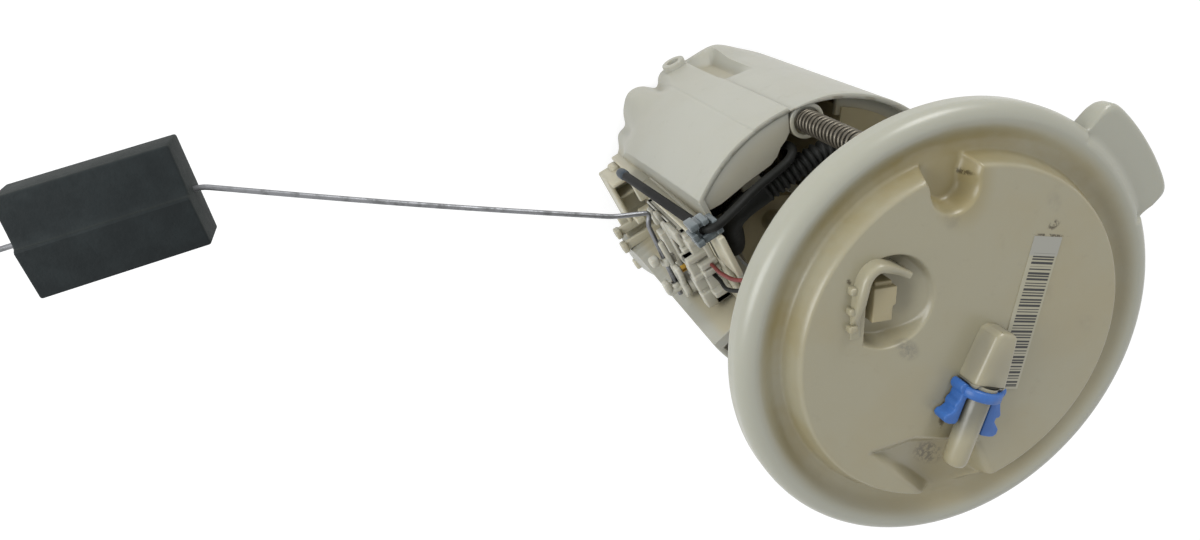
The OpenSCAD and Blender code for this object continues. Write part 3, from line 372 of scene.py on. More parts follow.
# Plastics: colour, stain, roughness and amount of stain
PLASTICS = {
    "aged_plastic": ("#b9b4a0", "#a9a086", 0.3, 0.5),
    "white_plastic": ("#bab7a9", "#ada78f", 0.3, 0.35),
    "pale_plastic": ("#b2afa2", "#a6a08b", 0.34, 0.35),
    "beige_plastic": ("#a09575", "#8b7e5b", 0.34, 0.5),
}

# Rubbers and black plastics: colour, roughness, grain, depth and shine
RUBBERS = {
    "sleeve": ("#0c0c0a", 0.5, 300.0, 0.0002, 0.22),
    "probe_black": ("#1b2730", 0.36, 500.0, 0.0001),
    "black_plastic": ("#202224", 0.32, 500.0, 0.00008),
    "seal_rubber": ("#262628", 0.55),
    "hose_rubber": ("#10110e", 0.5, 600.0, 0.0002, 0.25),
}

# Plain materials: colour, other colour, roughness and scale of the grain
GRAINS = {
    "blue_plastic": ("#2c5a9c", "#3a6db4", 0.36, 150.0),
    "filter_paper": ("#cdbf98", "#b5a67c", 0.8, 900.0),
    "ferrite": ("#343436", "#48484a", 0.7, 500.0),
    "carbon": ("#232324", "#39393a", 0.6, 800.0),
    "ceramic_card": ("#42413f", "#5a5957", 0.4, 300.0),
    "red_insulation": ("#64201c", "#7a302b", 0.42, 300.0),
    "mesh_fabric": ("#cbc9bf", "#aeaca2", 0.8, 1400.0),
}

# Metals: colour, worn colour, roughness and stretch of the grain
METALS = {
    "bright_steel": ("#a9abab", "#7c7b78", 0.24, (1, 1, 6)),
    "arm_steel": ("#858689", "#626363", 0.4),
    "spring_steel": ("#6a655b", "#474137", 0.42),
    "tinned_steel": ("#bdbcb6", "#8d8b84", 0.3),
    "core_steel": ("#6e6f70", "#545556", 0.42),
    "cast_aluminium": ("#a2a4a6", "#82858a", 0.42),
    "bronze": ("#a97e46", "#7e5b30", 0.35),
    "contact_brass": ("#c9a24b", "#94743a", 0.28),
    "copper": ("#b06a3c", "#7f4726", 0.3),
}


def make_materials():
    m = {"cover": cover_plastic(), "cup": cup_plastic()}
    for name, look in PLASTICS.items():
        m[name] = moulded_plastic(name, *look).mat
    for make, looks in ((rubber, RUBBERS), (flat_grain, GRAINS), (metal, METALS)):
        for name, look in looks.items():
            m[name] = make(name, *look)
    m["clear_grey_plastic"] = clear_grey()
    m["label_paper"] = label_paper()
    m["float_rubber"] = foam()
    return m


# Mesh helpers
def new_piece(name, parts, material, body, sharp=35.0):
    verts, faces = join(parts)
    mesh = bpy.data.meshes.new(name)
    mesh.from_pydata([tuple(v) for v in np.asarray(verts, float) * MM], [], faces)
    mesh.validate()
    mesh.materials.append(material)
    obj = bpy.data.objects.new(name, mesh)
    bpy.context.scene.collection.objects.link(obj)
    mesh.shade_smooth()
    mesh.set_sharp_from_angle(angle=math.radians(sharp))
    if body:
        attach(obj, body)
    return obj


def grid_faces(rows, cols):
    # Faces between the rows of a closed tube
    faces = []
    for i in range(rows - 1):
        for k in range(cols):
            a = i * cols + k
            b = i * cols + (k + 1) % cols
            faces.append((a, b, b + cols, a + cols))
    return faces


def capped(rows, cols):
    # The same with both ends closed
    last = (rows - 1) * cols
    ends = [tuple(range(cols - 1, -1, -1)), tuple(range(last, last + cols))]
    return grid_faces(rows, cols) + ends


def flipped(faces):
    return [f[::-1] for f in faces]


def ring_angles(steps):
    az = np.arange(steps) * 360.0 / steps
    return az, np.cos(np.radians(az)), np.sin(np.radians(az))


def sweep(path, radius, sides, caps=True):
    path = [np.asarray(p, float) for p in path]
    radii = radius if hasattr(radius, "__len__") else [radius] * len(path)
    verts = []
    side = None
    for i, p in enumerate(path):
        t = path[min(i + 1, len(path) - 1)] - path[max(i - 1, 0)]
        t = t / np.linalg.norm(t)
        if side is None:
            ref = np.array([1.0, 0, 0]) if abs(t[2]) > 0.9 else np.array([0, 0, 1.0])
            side = np.cross(t, ref)
        side = side - t * side.dot(t)
        side = side / np.linalg.norm(side)
        other = np.cross(t, side)
        for k in range(sides):
            a = 2 * math.pi * k / sides
            verts.append(p + radii[i] * (math.cos(a) * side + math.sin(a) * other))
    return verts, (capped if caps else grid_faces)(len(path), sides)


def join(parts):
    verts, faces = [], []
    for v, f in parts:
        base = len(verts)
        verts.extend(v)
        faces.extend(tuple(base + i for i in face) for face in f)
    return verts, faces


def spline(points, steps):
    p = [np.asarray(q, float) for q in points]
    out = []
    for i in range(len(p) - 1):
        a, b, c, d = p[max(i - 1, 0)], p[i], p[i + 1], p[min(i + 2, len(p) - 1)]
        for k in range(steps):
            s = k / steps
            cubic = (2 * a - 5 * b + 4 * c - d) * s * s + (3 * b - a - 3 * c + d) * s ** 3
            out.append(0.5 * (2 * b + (c - a) * s + cubic))
    out.append(p[-1])
    return out


def smoothstep(x, low, high):
    t = np.clip((x - low) / (high - low), 0.0, 1.0)
    return t * t * t * (t * (6 * t - 15) + 10)


def turned(x, y, centre, degrees):
    a = math.radians(degrees)
    return (centre[0] + x * math.cos(a) - y * math.sin(a),
            centre[1] + x * math.sin(a) + y * math.cos(a))


def local(x, y, centre, degrees):
    a = math.radians(degrees)
    dx, dy = x - centre[0], y - centre[1]
    return dx * math.cos(a) + dy * math.sin(a), -dx * math.sin(a) + dy * math.cos(a)


def at_socket(v):
    return (*turned(v[0], v[1], SOCKET_XY, SOCKET_AZ - 90), v[2])


def at_outlet(v):
    return (*turned(v[0], v[1], OUTLET_XY, OUTLET_AZ), v[2])


def on_cup(radius, az):
    return turned(radius, 0.0, CUP_XY, az)


def bevel(bm, edges, radius):
    bmesh.ops.bevel(bm, geom=edges, offset=radius, segments=BEVEL_STEPS, profile=0.5, affect="EDGES")
    bm.verts.index_update()


def rounded_box(size, centre, radius, turn=0.0):
    bm = bmesh.new()
    bmesh.ops.create_cube(bm, size=1.0)
    bmesh.ops.scale(bm, vec=size, verts=bm.verts)
    bevel(bm, list(bm.edges), radius)
    verts = [(*turned(v.co.x, v.co.y, centre, turn), centre[2] + v.co.z) for v in bm.verts]
    faces = [tuple(v.index for v in f.verts) for f in bm.faces]
    bm.free()
    return verts, faces


def extruded(outline, z0, z1, radius, place=None):
    # A plan outline pulled up and rounded on its upper and lower edges
    bm = bmesh.new()
    face = bm.faces.new([bm.verts.new((x, y, z0)) for x, y in outline])
    out = bmesh.ops.extrude_face_region(bm, geom=[face])
    for v in out["geom"]:
        if isinstance(v, bmesh.types.BMVert):
            v.co.z = z1
    bmesh.ops.recalc_face_normals(bm, faces=bm.faces)
    limit = math.radians(30)
    edges = [e for e in bm.edges if len(e.link_faces) == 2 and e.calc_face_angle() > limit]
    bevel(bm, edges, radius)
    verts = [tuple(v.co) for v in bm.verts]
    if place:
        verts = [place(v) for v in verts]
    faces = [tuple(v.index for v in f.verts) for f in bm.faces]
    bm.free()
    return verts, faces


# Cover plate
def notch_distance(x, y):
    u, v = local(x, y, (0.0, 0.0), NOTCH_AZ)
    start = NOTCH_IN_R + NOTCH_W / 2
    du = np.where(u < start, u - start, 0.0)
    return np.hypot(du, v) - NOTCH_W / 2 - 1.6 * smoothstep(u, 52.0, 59.0)


def polygon_distance(x, y, points):
    best = np.full(np.shape(x), 1e9)
    inside = np.zeros(np.shape(x), bool)
    n = len(points)
    for i in range(n):
        ax, ay = points[i]
        bx, by = points[(i + 1) % n]
        ex, ey = bx - ax, by - ay
        t = np.clip(((x - ax) * ex + (y - ay) * ey) / (ex * ex + ey * ey), 0, 1)
        best = np.minimum(best, np.hypot(x - ax - t * ex, y - ay - t * ey))
        crosses = ((ay > y) != (by > y)) & (x < ex * (y - ay) / (ey if ey else 1e-9) + ax)
        inside ^= crosses
    return np.where(inside, -best, best)


POCKET = [(19, -43), (58, -28), (57, -10.5), (40.5, -10), (24, -28.5)]


def scoop_depth(x, y):
    u, v = local(x, y, SOCKET_XY, SOCKET_AZ - 90)
    circle = np.hypot(u, v - (SCOOP_L - SCOOP_R)) - SCOOP_R
    front = np.maximum(np.abs(u) - (SCOOP_R - 2), -v)
    front = np.maximum(front, v - (SCOOP_L - SCOOP_R))
    edge = np.minimum(circle, front)
    edge = np.maximum(edge, -v)
    floor = SCOOP_Z + (DISC_H - SCOOP_Z - 1.2) * smoothstep(v, 8.0, SCOOP_L + 3.0)
    return edge, floor


def cover_height(x, y):
    r = np.hypot(x, y)
    edge = np.maximum(r - DISC_R, -notch_distance(x, y))
    top = MOAT_H + (DISC_H - MOAT_H) * (1.0 - smoothstep(edge, -3.0, 1.6))
    rim = MOAT_H + (RIM_H - MOAT_H) * smoothstep(r, MOAT_R, 71.0)
    top = np.where(r > MOAT_R, np.maximum(rim, MOAT_H), top)
    pocket = polygon_distance(x, y, POCKET)
    floor = 7.2 + 4.6 * smoothstep(-(x * 0.8 + y * 0.6), -24.0, 8.0)
    inside = 1.0 - smoothstep(pocket, -4.0, 2.4)
    top = np.where(r < MOAT_R, top + (np.minimum(floor, top) - top) * inside, top)
    edge, floor = scoop_depth(x, y)
    inside = 1.0 - smoothstep(edge, -1.6, 0.8)
    return top + (np.minimum(floor, top) - top) * inside


def az_gap(az, centre):
    return (az - centre + 180.0) % 360.0 - 180.0


def ear_weight(az):
    off = np.abs(az_gap(az, EAR_AZ))
    return np.clip(1.0 - (off / (EAR_SPAN / 2 + 0.6)) ** 12, 0.0, 1.0) ** 0.5


def cover_mesh():
    steps = 900
    az, ca, sa = ring_angles(steps)
    rows = []

    def flat_ring(r, z):
        r = np.broadcast_to(r, az.shape)
        z = np.broadcast_to(z, az.shape)
        rows.append(np.stack([r * ca, r * sa, z], 1))

    rim_in = FLANGE_R - RIM_ROUND
    for r in np.arange(0.4, rim_in, 0.4):
        flat_ring(r, cover_height(r * ca, r * sa))
    # Rolled rim, flattened into the ear
    w = ear_weight(az)
    for a in np.linspace(90, 0, 12):
        r_plain = rim_in + RIM_ROUND * math.cos(math.radians(a))
        z_plain = RIM_H - RIM_ROUND + RIM_ROUND * math.sin(math.radians(a))
        u = (90 - a) / 90.0
        r_ear = rim_in + (EAR_R - 71.5) * u
        z_ear = 8.4 + 2.6 * (1 - smoothstep(u, 0.0, 0.34))
        flat_ring(r_plain + (rim_in + (r_ear - rim_in) * w - r_plain) * w,
                  z_plain + (z_ear - z_plain) * np.clip(w * 1.4, 0, 1))
    reach = (EAR_R - FLANGE_R) * w
    for c, z in ((0.6, 7.9), (1.0, 6.9), (1.0, 3.2), (0.6, 2.1), (0.0, 1.6)):
        flat_ring(FLANGE_R + reach - (1.5 - 1.5 * c) * w, z * w + (1 - w) * (2.0 + (z - 1.6) * 0.6))
    # Underside with the seal's groove and the spigot
    seal_out = SEAL_IN_R + SEAL_W
    spigot_in = SPIGOT_R - SPIGOT_WALL
    for r, z in ((FLANGE_R - 0.6, 0.6), (FLANGE_R - 2.0, 0.0), (seal_out + 0.05, 0.0), (seal_out, 0.2),
                 (seal_out, 3.0), (SEAL_IN_R, 3.0), (SEAL_IN_R, 0.2), (SEAL_IN_R - 0.2, 0.0),
                 (SPIGOT_R + 0.6, 0.0), (SPIGOT_R, -0.5), (SPIGOT_R, -SPIGOT_DEPTH + 0.6),
                 (SPIGOT_R - 0.6, -SPIGOT_DEPTH), (spigot_in + 0.6, -SPIGOT_DEPTH),
                 (spigot_in, -SPIGOT_DEPTH + 0.6), (spigot_in, 3.0)):
        flat_ring(r, z)
    for r in np.arange(spigot_in - 0.6, 0.3, -0.8):
        flat_ring(r, np.minimum(cover_height(r * ca, r * sa) - COVER_WALL, DISC_H - COVER_WALL))
    verts = np.concatenate(rows)
    faces = flipped(grid_faces(len(rows), steps))
    top = len(verts)
    verts = np.concatenate([verts, [[0, 0, DISC_H], [0, 0, DISC_H - COVER_WALL]]])
    last = (len(rows) - 1) * steps
    faces += [(top, k, (k + 1) % steps) for k in range(steps)]
    faces += [(top + 1, last + (k + 1) % steps, last + k) for k in range(steps)]
    return list(verts), faces


# Middle line of the socket's lip, in the socket's plan
LIP_LINE = [
    (10, -3.6, 0), (5, -3.9, 0), (0, -4, 0), (-6, -3.6, 0), (-11, -2.2, 0), (-13.4, 1, 0),
    (-12.6, 5, 0), (-10.4, 9.6, 0), (-8.4, 13.4, 0),
]


def shroud_parts():
    # Lip of the socket: a front wall and one side wall that meet in a rounded corner and taper off
    centre = spline(LIP_LINE, 5)
    verts = []
    ring = 20
    count = len(centre) - 1
    low = SCOOP_Z - 1.0
    for i, p in enumerate(centre):
        t = centre[min(i + 1, count)] - centre[max(i - 1, 0)]
        t = t / np.linalg.norm(t)
        out = np.array([t[1], -t[0], 0.0])
        run = i / count
        rise = 0.4 + (LIP_H - 0.4) * smoothstep(run, 0.0, 0.42)
        rise = rise * (1.0 - 0.72 * smoothstep(run, 0.66, 1.0))
        half = 1.75 - 0.6 * smoothstep(run, 0.62, 1.0)
        for k in range(ring):
            a = 2 * math.pi * k / ring
            side = half * math.copysign(abs(math.cos(a)) ** 0.6, math.cos(a))
            if math.sin(a) >= 0:
                z = DISC_H + rise * abs(math.sin(a)) ** 0.6
            else:
                z = DISC_H + (low - DISC_H) * abs(math.sin(a)) ** 0.6
                side *= 1.0 + 0.35 * (1 - abs(math.sin(a)))
            q = p + out * side
            verts.append(at_socket((q[0], q[1], z)))
    parts = [(verts, capped(len(centre), ring))]
    for u, v in ((-6.4, -5.7), (0.2, -5.7), (6.0, -5.4)):
        place = at_socket((u, v, DISC_H + 0.8))
        parts.append(rounded_box((2.4, 3.0, 3.2), place, 0.7, SOCKET_AZ - 90))
    return parts


def build_socket(m):
    # Terminal block in the scoop, with the contacts sunk in it
    outline = [(-5.6, 1.6), (5.6, 1.6), (5.6, 8.4), (1.0, 8.4), (0.6, 8.9), (0.6, 9.4), (-5.6, 9.4)]
    step = [(-6.9, 2.8), (-5.0, 2.8), (-5.0, 8.6), (-6.9, 8.6)]
    parts = [extruded(outline, SCOOP_Z + 0.1, DISC_H + 0.6, 0.45, at_socket)]
    parts.append(extruded(step, SCOOP_Z + 0.1, DISC_H - 1.2, 0.4, at_socket))
    block = new_piece("contact_block", parts, m["beige_plastic"], "cover", 50.0)
    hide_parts("terminal_block")
    parts = []
    for u in (-4.2, -1.4, 1.4, 4.2):
        plan = [(u - 0.8, 5.1), (u + 0.8, 5.1), (u + 0.8, 5.9), (u - 0.8, 5.9)]
        parts.append(extruded(plan, SCOOP_Z + 0.2, DISC_H + 0.4, 0.15, at_socket))
    pins = new_piece("contacts", parts, m["tinned_steel"], "cover", 40.0)
    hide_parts("connector_pins")


# Plan of the outlet's hood, and the nipple's radius at each place along its axis
HOOD_PLAN = [
    (-2.4, -2.6), (-1.9, -3.9), (-0.8, -4.6), (8, -5.4), (16.2, -6.1), (17, -5.4), (17, 5.6),
    (16.2, 6.3), (10, 5.4), (3, 4.3), (-1.2, 3.5), (-2.1, 2.9), (-2.4, 1.8),
]
NIPPLE_PROFILE = [
    (16, 4.6), (17.2, 4.5), (17.6, NECK_R), (20.4, NECK_R), (21.4, NIPPLE_R), (26, NIPPLE_R),
    (34, NIPPLE_R), (42.6, NIPPLE_R), (43.8, 3.75), (44.7, 3.3), (45, 2.9), (45, 2.5), (36, 2.5),
]


def outlet_parts():
    # Low hood over the outlet's bend, and the nipple with its neck for the retainer
    hood = extruded(HOOD_PLAN, DISC_H - 2.0, NIPPLE_Z + 3.3, 1.5, at_outlet)
    ring = 40
    axis = np.array(at_outlet((1, 0, 0))) - np.array(at_outlet((0, 0, 0)))
    side = np.array([-axis[1], axis[0], 0.0])
    up = np.array([0, 0, 1.0])
    verts = []
    for s, r in NIPPLE_PROFILE:
        centre = np.array(at_outlet((s, 0, NIPPLE_Z)))
        for k in range(ring):
            a = 2 * math.pi * k / ring
            verts.append(centre + r * (math.cos(a) * side + math.sin(a) * up))
    faces = grid_faces(len(NIPPLE_PROFILE), ring)
    faces.append(tuple((len(NIPPLE_PROFILE) - 1) * ring + k for k in range(ring)))
    return [hood, (verts, flipped(faces))]


def cylinder(x, y, z0, z1, r, sides=40):
    return sweep([(x, y, z0), (x, y, z0 + 0.001), (x, y, z1 - 0.001), (x, y, z1)], r, sides)


def rod_xy(side):
    return on_cup(ROD_R, ROD_AZ + 180 * side)


def build_cover(m):
    parts = [cover_mesh()] + shroud_parts() + outlet_parts()
    for side in (0, 1):
        x, y = rod_xy(side)
        parts.append(cylinder(x, y, -SPIGOT_DEPTH, 4.2, 5.5))
    x, y, z = at_outlet((5, 0, 0))
    parts.append(cylinder(x, y, -18.0, 12.0, 4.0))
    plate = new_piece("cover_plate", parts, m["cover"], "cover", 48.0)
    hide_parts("flange")


# Springs, hose and wires
def fold(piece, low, high):
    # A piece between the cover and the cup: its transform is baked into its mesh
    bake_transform(piece)


def helix(x, y, radius, turns, steps, height):
    # Path of a coil, whose height is a function of the turns made
    path = []
    for i in range(turns * steps + 1):
        t = i / steps
        a = 2 * math.pi * t
        path.append((x + radius * math.cos(a), y + radius * math.sin(a), height(t)))
    return path


def build_springs(m):
    low = CUP_TOP - 2 + SPRING_WIRE / 2
    high = -SPIGOT_DEPTH - SPRING_WIRE / 2
    end = 0.022

    def height(t):
        # The first and last turns lie close
        if t < 1:
            rise = end * t
        elif t > SPRING_TURNS - 1:
            rise = 1 - end * (SPRING_TURNS - t)
        else:
            rise = end + (t - 1) / (SPRING_TURNS - 2) * (1 - 2 * end)
        return low + (high - low) * rise

    for side, name in ((0, "spring_left"), (1, "spring_right")):
        path = helix(*rod_xy(side), (SPRING_D - SPRING_WIRE) / 2, SPRING_TURNS, 22, height)
        wire = sweep(path, SPRING_WIRE / 2, 12)
        coil = new_piece(name + "_coil", [wire], m["spring_steel"], None)
        fold(coil, low, high)
        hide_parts(name)


def build_regulator_spring(m):
    # Coil between the regulator's cap and its moving disc
    low, high, turns = -115.0, -98.9, 6
    path = helix(22.1, -29.2, 3.55, turns, 24, lambda t: low + (high - low) * t / turns)
    wire = sweep(path, 0.45, 12)
    coil = new_piece("regulator_coil", [wire], m["spring_steel"], None)
    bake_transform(coil)
    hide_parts("regulator_spring")


# Reservoir cup
CUP_WALL = 2.2
CUP_ROUND = 3.5
FLAT_Y = -41.0
FLAT_END_X = 1.0
FLOOR_Z = CUP_BOTTOM + 2.5
TROUGH_TOP = -115.0
TROUGH_HALF = 6.5
COLUMN_TOP = -122.0
TROUGH_FOOT = -166.0
TROUGH_DEPTH = 5.5
BOSS_Z = -164.5

# Bulges low on the cup's side: azimuth, height and width in degrees
LOBES = [
    (201.5, 3.6, 6.5), (190.5, -4.6, 3.6), (215, -3.4, 4), (228, -5, 8), (157, 2.4, 9), (288, 3, 12),
    (60, 1.2, 16),
]

# Creases down the cup's side: azimuth, depth, and width in degrees before and after it
CREASES = [(172.6, 1.3, 16.0, 0.5), (188.0, 0.3, 0.4, 9.0)]


def cup_limit(az, grow):
    # Distance from the cup's axis to the sender's flat
    a = np.radians(az)
    c, w = np.cos(a), np.sin(a)
    depth = -(FLAT_Y - CUP_XY[1]) - grow
    end = FLAT_END_X - CUP_XY[0] + grow
    reach = np.where(w < -0.05, depth / np.maximum(-w, 0.05), 1e3)
    turn = np.clip((end - reach * c) / 1.6, 0.0, 1.0)
    far = 200.0
    return np.where(reach < far, reach * turn + far * (1 - turn), far)


def cup_radius(az, z, inset):
    radius = np.full(az.shape, CUP_R - inset)
    low = smoothstep(z, -140.0, -166.0)
    for centre, height, width in LOBES:
        radius = radius + height * low * np.exp(-(az_gap(az, centre) / width) ** 2)
    outside = inset == 0
    if outside:
        for centre, depth, before, after in CREASES:
            gap = az_gap(az, centre)
            radius = radius - depth * np.clip(1 - np.abs(gap) / np.where(gap < 0, before, after), 0, 1)
    top = TROUGH_TOP if outside else COLUMN_TOP
    foot = TROUGH_FOOT if outside else -1e3
    half = TROUGH_HALF if outside else TROUGH_HALF + CUP_WALL
    centre_z = top - half
    if foot < z < top:
        w = half if z < centre_z else math.sqrt(max(half * half - (z - centre_z) ** 2, 0.0))
        fade = smoothstep(top - z, 0.0, 24.0) * smoothstep(z, TROUGH_FOOT, TROUGH_FOOT + 5.0)
        for side in (0, 1):
            off = np.radians(az_gap(az, ROD_AZ + 180 * side))
            inside = w * w - (ROD_R * np.sin(off)) ** 2
            trough = ROD_R * np.cos(off) - np.sqrt(np.clip(inside, 0, None))
            mouth = math.degrees(math.asin(min(w / (CUP_R - inset), 1.0)))
            cut = (mouth - np.abs(np.degrees(off))) / (3.4 if outside else 0.5)
            cut = np.where(inside > 0, np.clip(cut + 0.5, 0, 1), 0.0)
            if outside:
                cut = cut * cut * (3.0 - 2.0 * cut) * fade
                trough = np.maximum(trough, CUP_R - TROUGH_DEPTH)
            radius = radius + (np.minimum(trough, radius) - radius) * cut
    lean = 3.6 * min(max((-64.0 - z) / 104.0, 0.0), 1.0) if outside else 0.0
    return np.minimum(radius, cup_limit(az, inset - lean))


def cup_shell():
    steps = 1080
    az, ca, sa = ring_angles(steps)
    rows = []

    def level(r, z):
        rows.append(np.stack([CUP_XY[0] + r * ca, CUP_XY[1] + r * sa, np.full(steps, z)], 1))

    def ring(z, inset=0.0, shrink=0.0, reach=1.0):
        level((cup_radius(az, z, inset) - shrink) * reach, z)

    # Outside, from the bottom to the rim
    for k in (0.02, 0.2, 0.4, 0.6, 0.75):
        ring(CUP_BOTTOM, reach=k)
    for a in np.linspace(0, 90, 9):
        c, w = math.cos(math.radians(a)), math.sin(math.radians(a))
        ring(CUP_BOTTOM + CUP_ROUND * (1 - c), shrink=CUP_ROUND * (1 - w))
    for z in (TROUGH_FOOT - 1.4, TROUGH_FOOT - 0.1, TROUGH_FOOT + 0.7):
        ring(z)
    for z in np.arange(TROUGH_FOOT + 1.8, TROUGH_TOP - TROUGH_HALF, 1.6):
        ring(z)
    for a in np.linspace(0, 88, 14):
        ring(TROUGH_TOP - TROUGH_HALF + TROUGH_HALF * math.sin(math.radians(a)))
    for z in np.arange(TROUGH_TOP + 0.3, TROUGH_TOP + 5.0, 0.9):
        ring(z)
    for z in np.arange(TROUGH_TOP + 8.0, CUP_TOP - 2.0, 6.0):
        ring(z)
    # Rim, and the inside down to the floor
    ring(CUP_TOP - 0.7)
    ring(CUP_TOP - 0.2, shrink=0.2)
    ring(CUP_TOP, shrink=0.7)
    ring(CUP_TOP, inset=CUP_WALL, shrink=-0.6)
    ring(CUP_TOP - 0.2, inset=CUP_WALL, shrink=-0.15)
    ring(CUP_TOP - 0.7, inset=CUP_WALL)
    for z in np.arange(CUP_TOP - 5.0, COLUMN_TOP + 1.0, -6.0):
        ring(z, inset=CUP_WALL)
    ring(COLUMN_TOP + 0.02, inset=CUP_WALL)
    inner = cup_radius(az, COLUMN_TOP - 30.0, CUP_WALL)
    for z in [COLUMN_TOP - 0.02, *np.arange(COLUMN_TOP - 5.0, FLOOR_Z + 5.0, -8.0)]:
        level(np.minimum(inner, cup_radius(az, z, CUP_WALL)), z)
    for a in np.linspace(90, 0, 6):
        c, w = math.cos(math.radians(a)), math.sin(math.radians(a))
        r = np.minimum(inner, cup_radius(az, FLOOR_Z, CUP_WALL)) - 4.8 * (1 - w)
        level(r, FLOOR_Z + 4.8 * (1 - c))
    for k in (0.8, 0.5, 0.2, 0.02):
        ring(FLOOR_Z, inset=CUP_WALL, reach=k * 0.85)
    return list(np.concatenate(rows)), capped(len(rows), steps)


def ring_wall(x, y, z0, z1, outer, inner, sides=64):
    # Open tube standing on end with softened rims
    soft = 0.4
    section = [
        (outer, z0 + soft), (outer, z1 - soft), (outer - soft * 0.4, z1 - soft * 0.3), (outer - soft, z1),
        (inner + soft, z1), (inner + soft * 0.3, z1 - soft * 0.3), (inner, z1 - soft),
        (inner, z0 + soft), (inner + soft, z0), (outer - soft, z0),
    ]
    verts = []
    for r, z in section:
        for k in range(sides):
            a = 2 * math.pi * k / sides
            verts.append((x + r * math.cos(a), y + r * math.sin(a), z))
    faces = grid_faces(len(section), sides)
    last = (len(section) - 1) * sides
    faces += [(last + k, last + (k + 1) % sides, (k + 1) % sides, k) for k in range(sides)]
    return verts, faces


# Inner edge of the shelf under the probe's lead
SHELF_EDGE = [
    (-46.9, -38.6), (-46.6, -34), (-47.4, -28), (-48.4, -22), (-48.9, -16), (-49.4, -10.5),
    (-50.9, -7.2), (-53.4, -4.4), (-54.8, -1.5), (-56.8, 1), (-60.5, 2.2),
]


def build_cup(m):
    parts = [cup_shell()]
    for side in (0, 1):
        x, y = rod_xy(side)
        parts.append(ring_wall(x, y, -94.0, -62.0, 6.5, 3.55))
        parts.append(ring_wall(x, y, -66.0, CUP_TOP - 0.6, SPRING_D / 2 + 2.4, SPRING_D / 2 + 0.7))
    shelf = [on_cup(58.2, a) for a in range(173, 222, 3)] + SHELF_EDGE
    parts.append(extruded(shelf, CUP_TOP - 3.0, CUP_TOP - 0.6, 0.3))
    ledge = [on_cup(57.8, a) for a in range(72, 151, 3)]
    ledge += [on_cup(49.5, a) for a in range(150, 71, -3)]
    parts.append(extruded(ledge, CUP_TOP - 9.0, CUP_TOP - 6.5, 0.5))
    for a in (60, 180, 300):
        x, y = on_cup(CUP_R - 12, a)
        parts.append(rounded_box((8, 8, 3.5), (x, y, CUP_BOTTOM - 0.75), 0.8, a))
    # Eye low on the cup's side
    eye = (CUP_XY[0] - 60.0, -1.8)
    boss, faces = ring_wall(0, 0, -4.0, 2.2, 5.4, 2.9, 48)
    boss = [(eye[0] - v[2], eye[1] + v[0], BOSS_Z + v[1]) for v in boss]
    parts.append((boss, flipped(faces)))
    cup = new_piece("cup_shell", parts, m["cup"], "reservoir", 42.0)
    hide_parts("reservoir_cup")


# Routes of the hose, the leads and the wires
HOSE_ROUTE = [
    (6.757, 5.59, -18.2), (6.757, 5.59, -21), (6.757, 5.59, -24), (5, 9, -32), (-4, 16, -39),
    (-16, 22, -45.5), (-29, 23, -51), (-39, 18.5, -56), (-43.3, 9, -58.9), (-43, -3, -59.8),
    (-41.7, -13, -61.1), (-40.6, -20, -61.9), (-39.6, -26, -62.7), (-37.4, -30.6, -64.2),
    (-33.4, -33, -66.9), (-27, -33.3, -70.5), (-20.5, -33.6, -75.8), (-18, -33.8, -81.3),
    (-18, -33.8, -84.7), (-18, -33.8, -88.3),
]
LEAD_ROUTE = [
    (-47, -46.2, -56.5), (-47, -45.9, -52.6), (-47.1, -44.7, -49.4), (-47.2, -41.8, -47.7),
    (-47.2, -38.4, -48.4), (-46.9, -34.4, -50.5), (-46.6, -29.8, -52.9), (-46.9, -24, -55),
    (-47.8, -18, -55.5), (-48.6, -11.4, -55.6), (-49.5, -5.8, -56.1), (-50.4, -2.1, -58.3),
    (-50.8, -0.6, -62.3), (-50.5, -1, -67), (-49.6, -2.9, -73), (-47.8, -6.4, -80.5), (-45.7, -9.4, -87.8),
    (-44.3, -10.5, -93), (-44, -10.6, -97.4),
]
RED_ROUTE = [
    (-32.3, -13.8, -6), (-32.3, -13.8, -11), (-32.3, -13.8, -14), (-30.5, -20, -19), (-27.6, -31, -30),
    (-25.4, -43.5, -43), (-24.4, -46.6, -55), (-23.8, -46.6, -64), (-23.6, -46.6, -67),
    (-23.6, -46.6, -71),
]
BLACK_ROUTE = [
    (-28.76, -15.56, -6), (-28.76, -15.56, -11), (-28.76, -15.56, -14), (-28, -21, -19), (-24, -33, -31),
    (-20, -43, -44), (-17, -47.4, -56), (-17, -47, -64), (-17, -47, -67), (-17, -47, -71),
]
LEAD_A = [
    (-25.18, -17.35, -6), (-25.18, -17.35, -11), (-25.18, -17.35, -14), (-22, -14, -24), (-10, -6, -42),
    (0, -2.6, -62), (3.1, -2.2, -80.3), (3.1, -2.2, -88.3), (3.1, -2.2, -95.3),
]
LEAD_B = [
    (-21.6, -19.14, -6), (-21.6, -19.14, -11), (-21.6, -19.14, -14), (-18, -19, -24), (-8, -18, -42),
    (1, -19.6, -62), (3.1, -20.2, -80.3), (3.1, -20.2, -88.3), (3.1, -20.2, -95.3),
]
HOSE_CUFF = (-43.1, -16.0, -61.3)


def path_runs(path):
    runs = [0.0]
    for a, b in zip(path, path[1:]):
        runs.append(runs[-1] + float(np.linalg.norm(b - a)))
    return runs


def declare_cord(path):
    [float(v) * MM for v in path[0]]
    path_runs(path)[-1] * MM
    [[float(v) * MM for v in p] for p in path]


def flexible(name, route, radius, material, node, body, ends=None):
    path = spline(route, 8)
    piece = new_piece(name, [sweep(path, radius, 14)], material, body, 80.0)
    if ends:
        fold(piece, *ends)
    if node:
        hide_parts(node)
    declare_cord(path)
    return piece


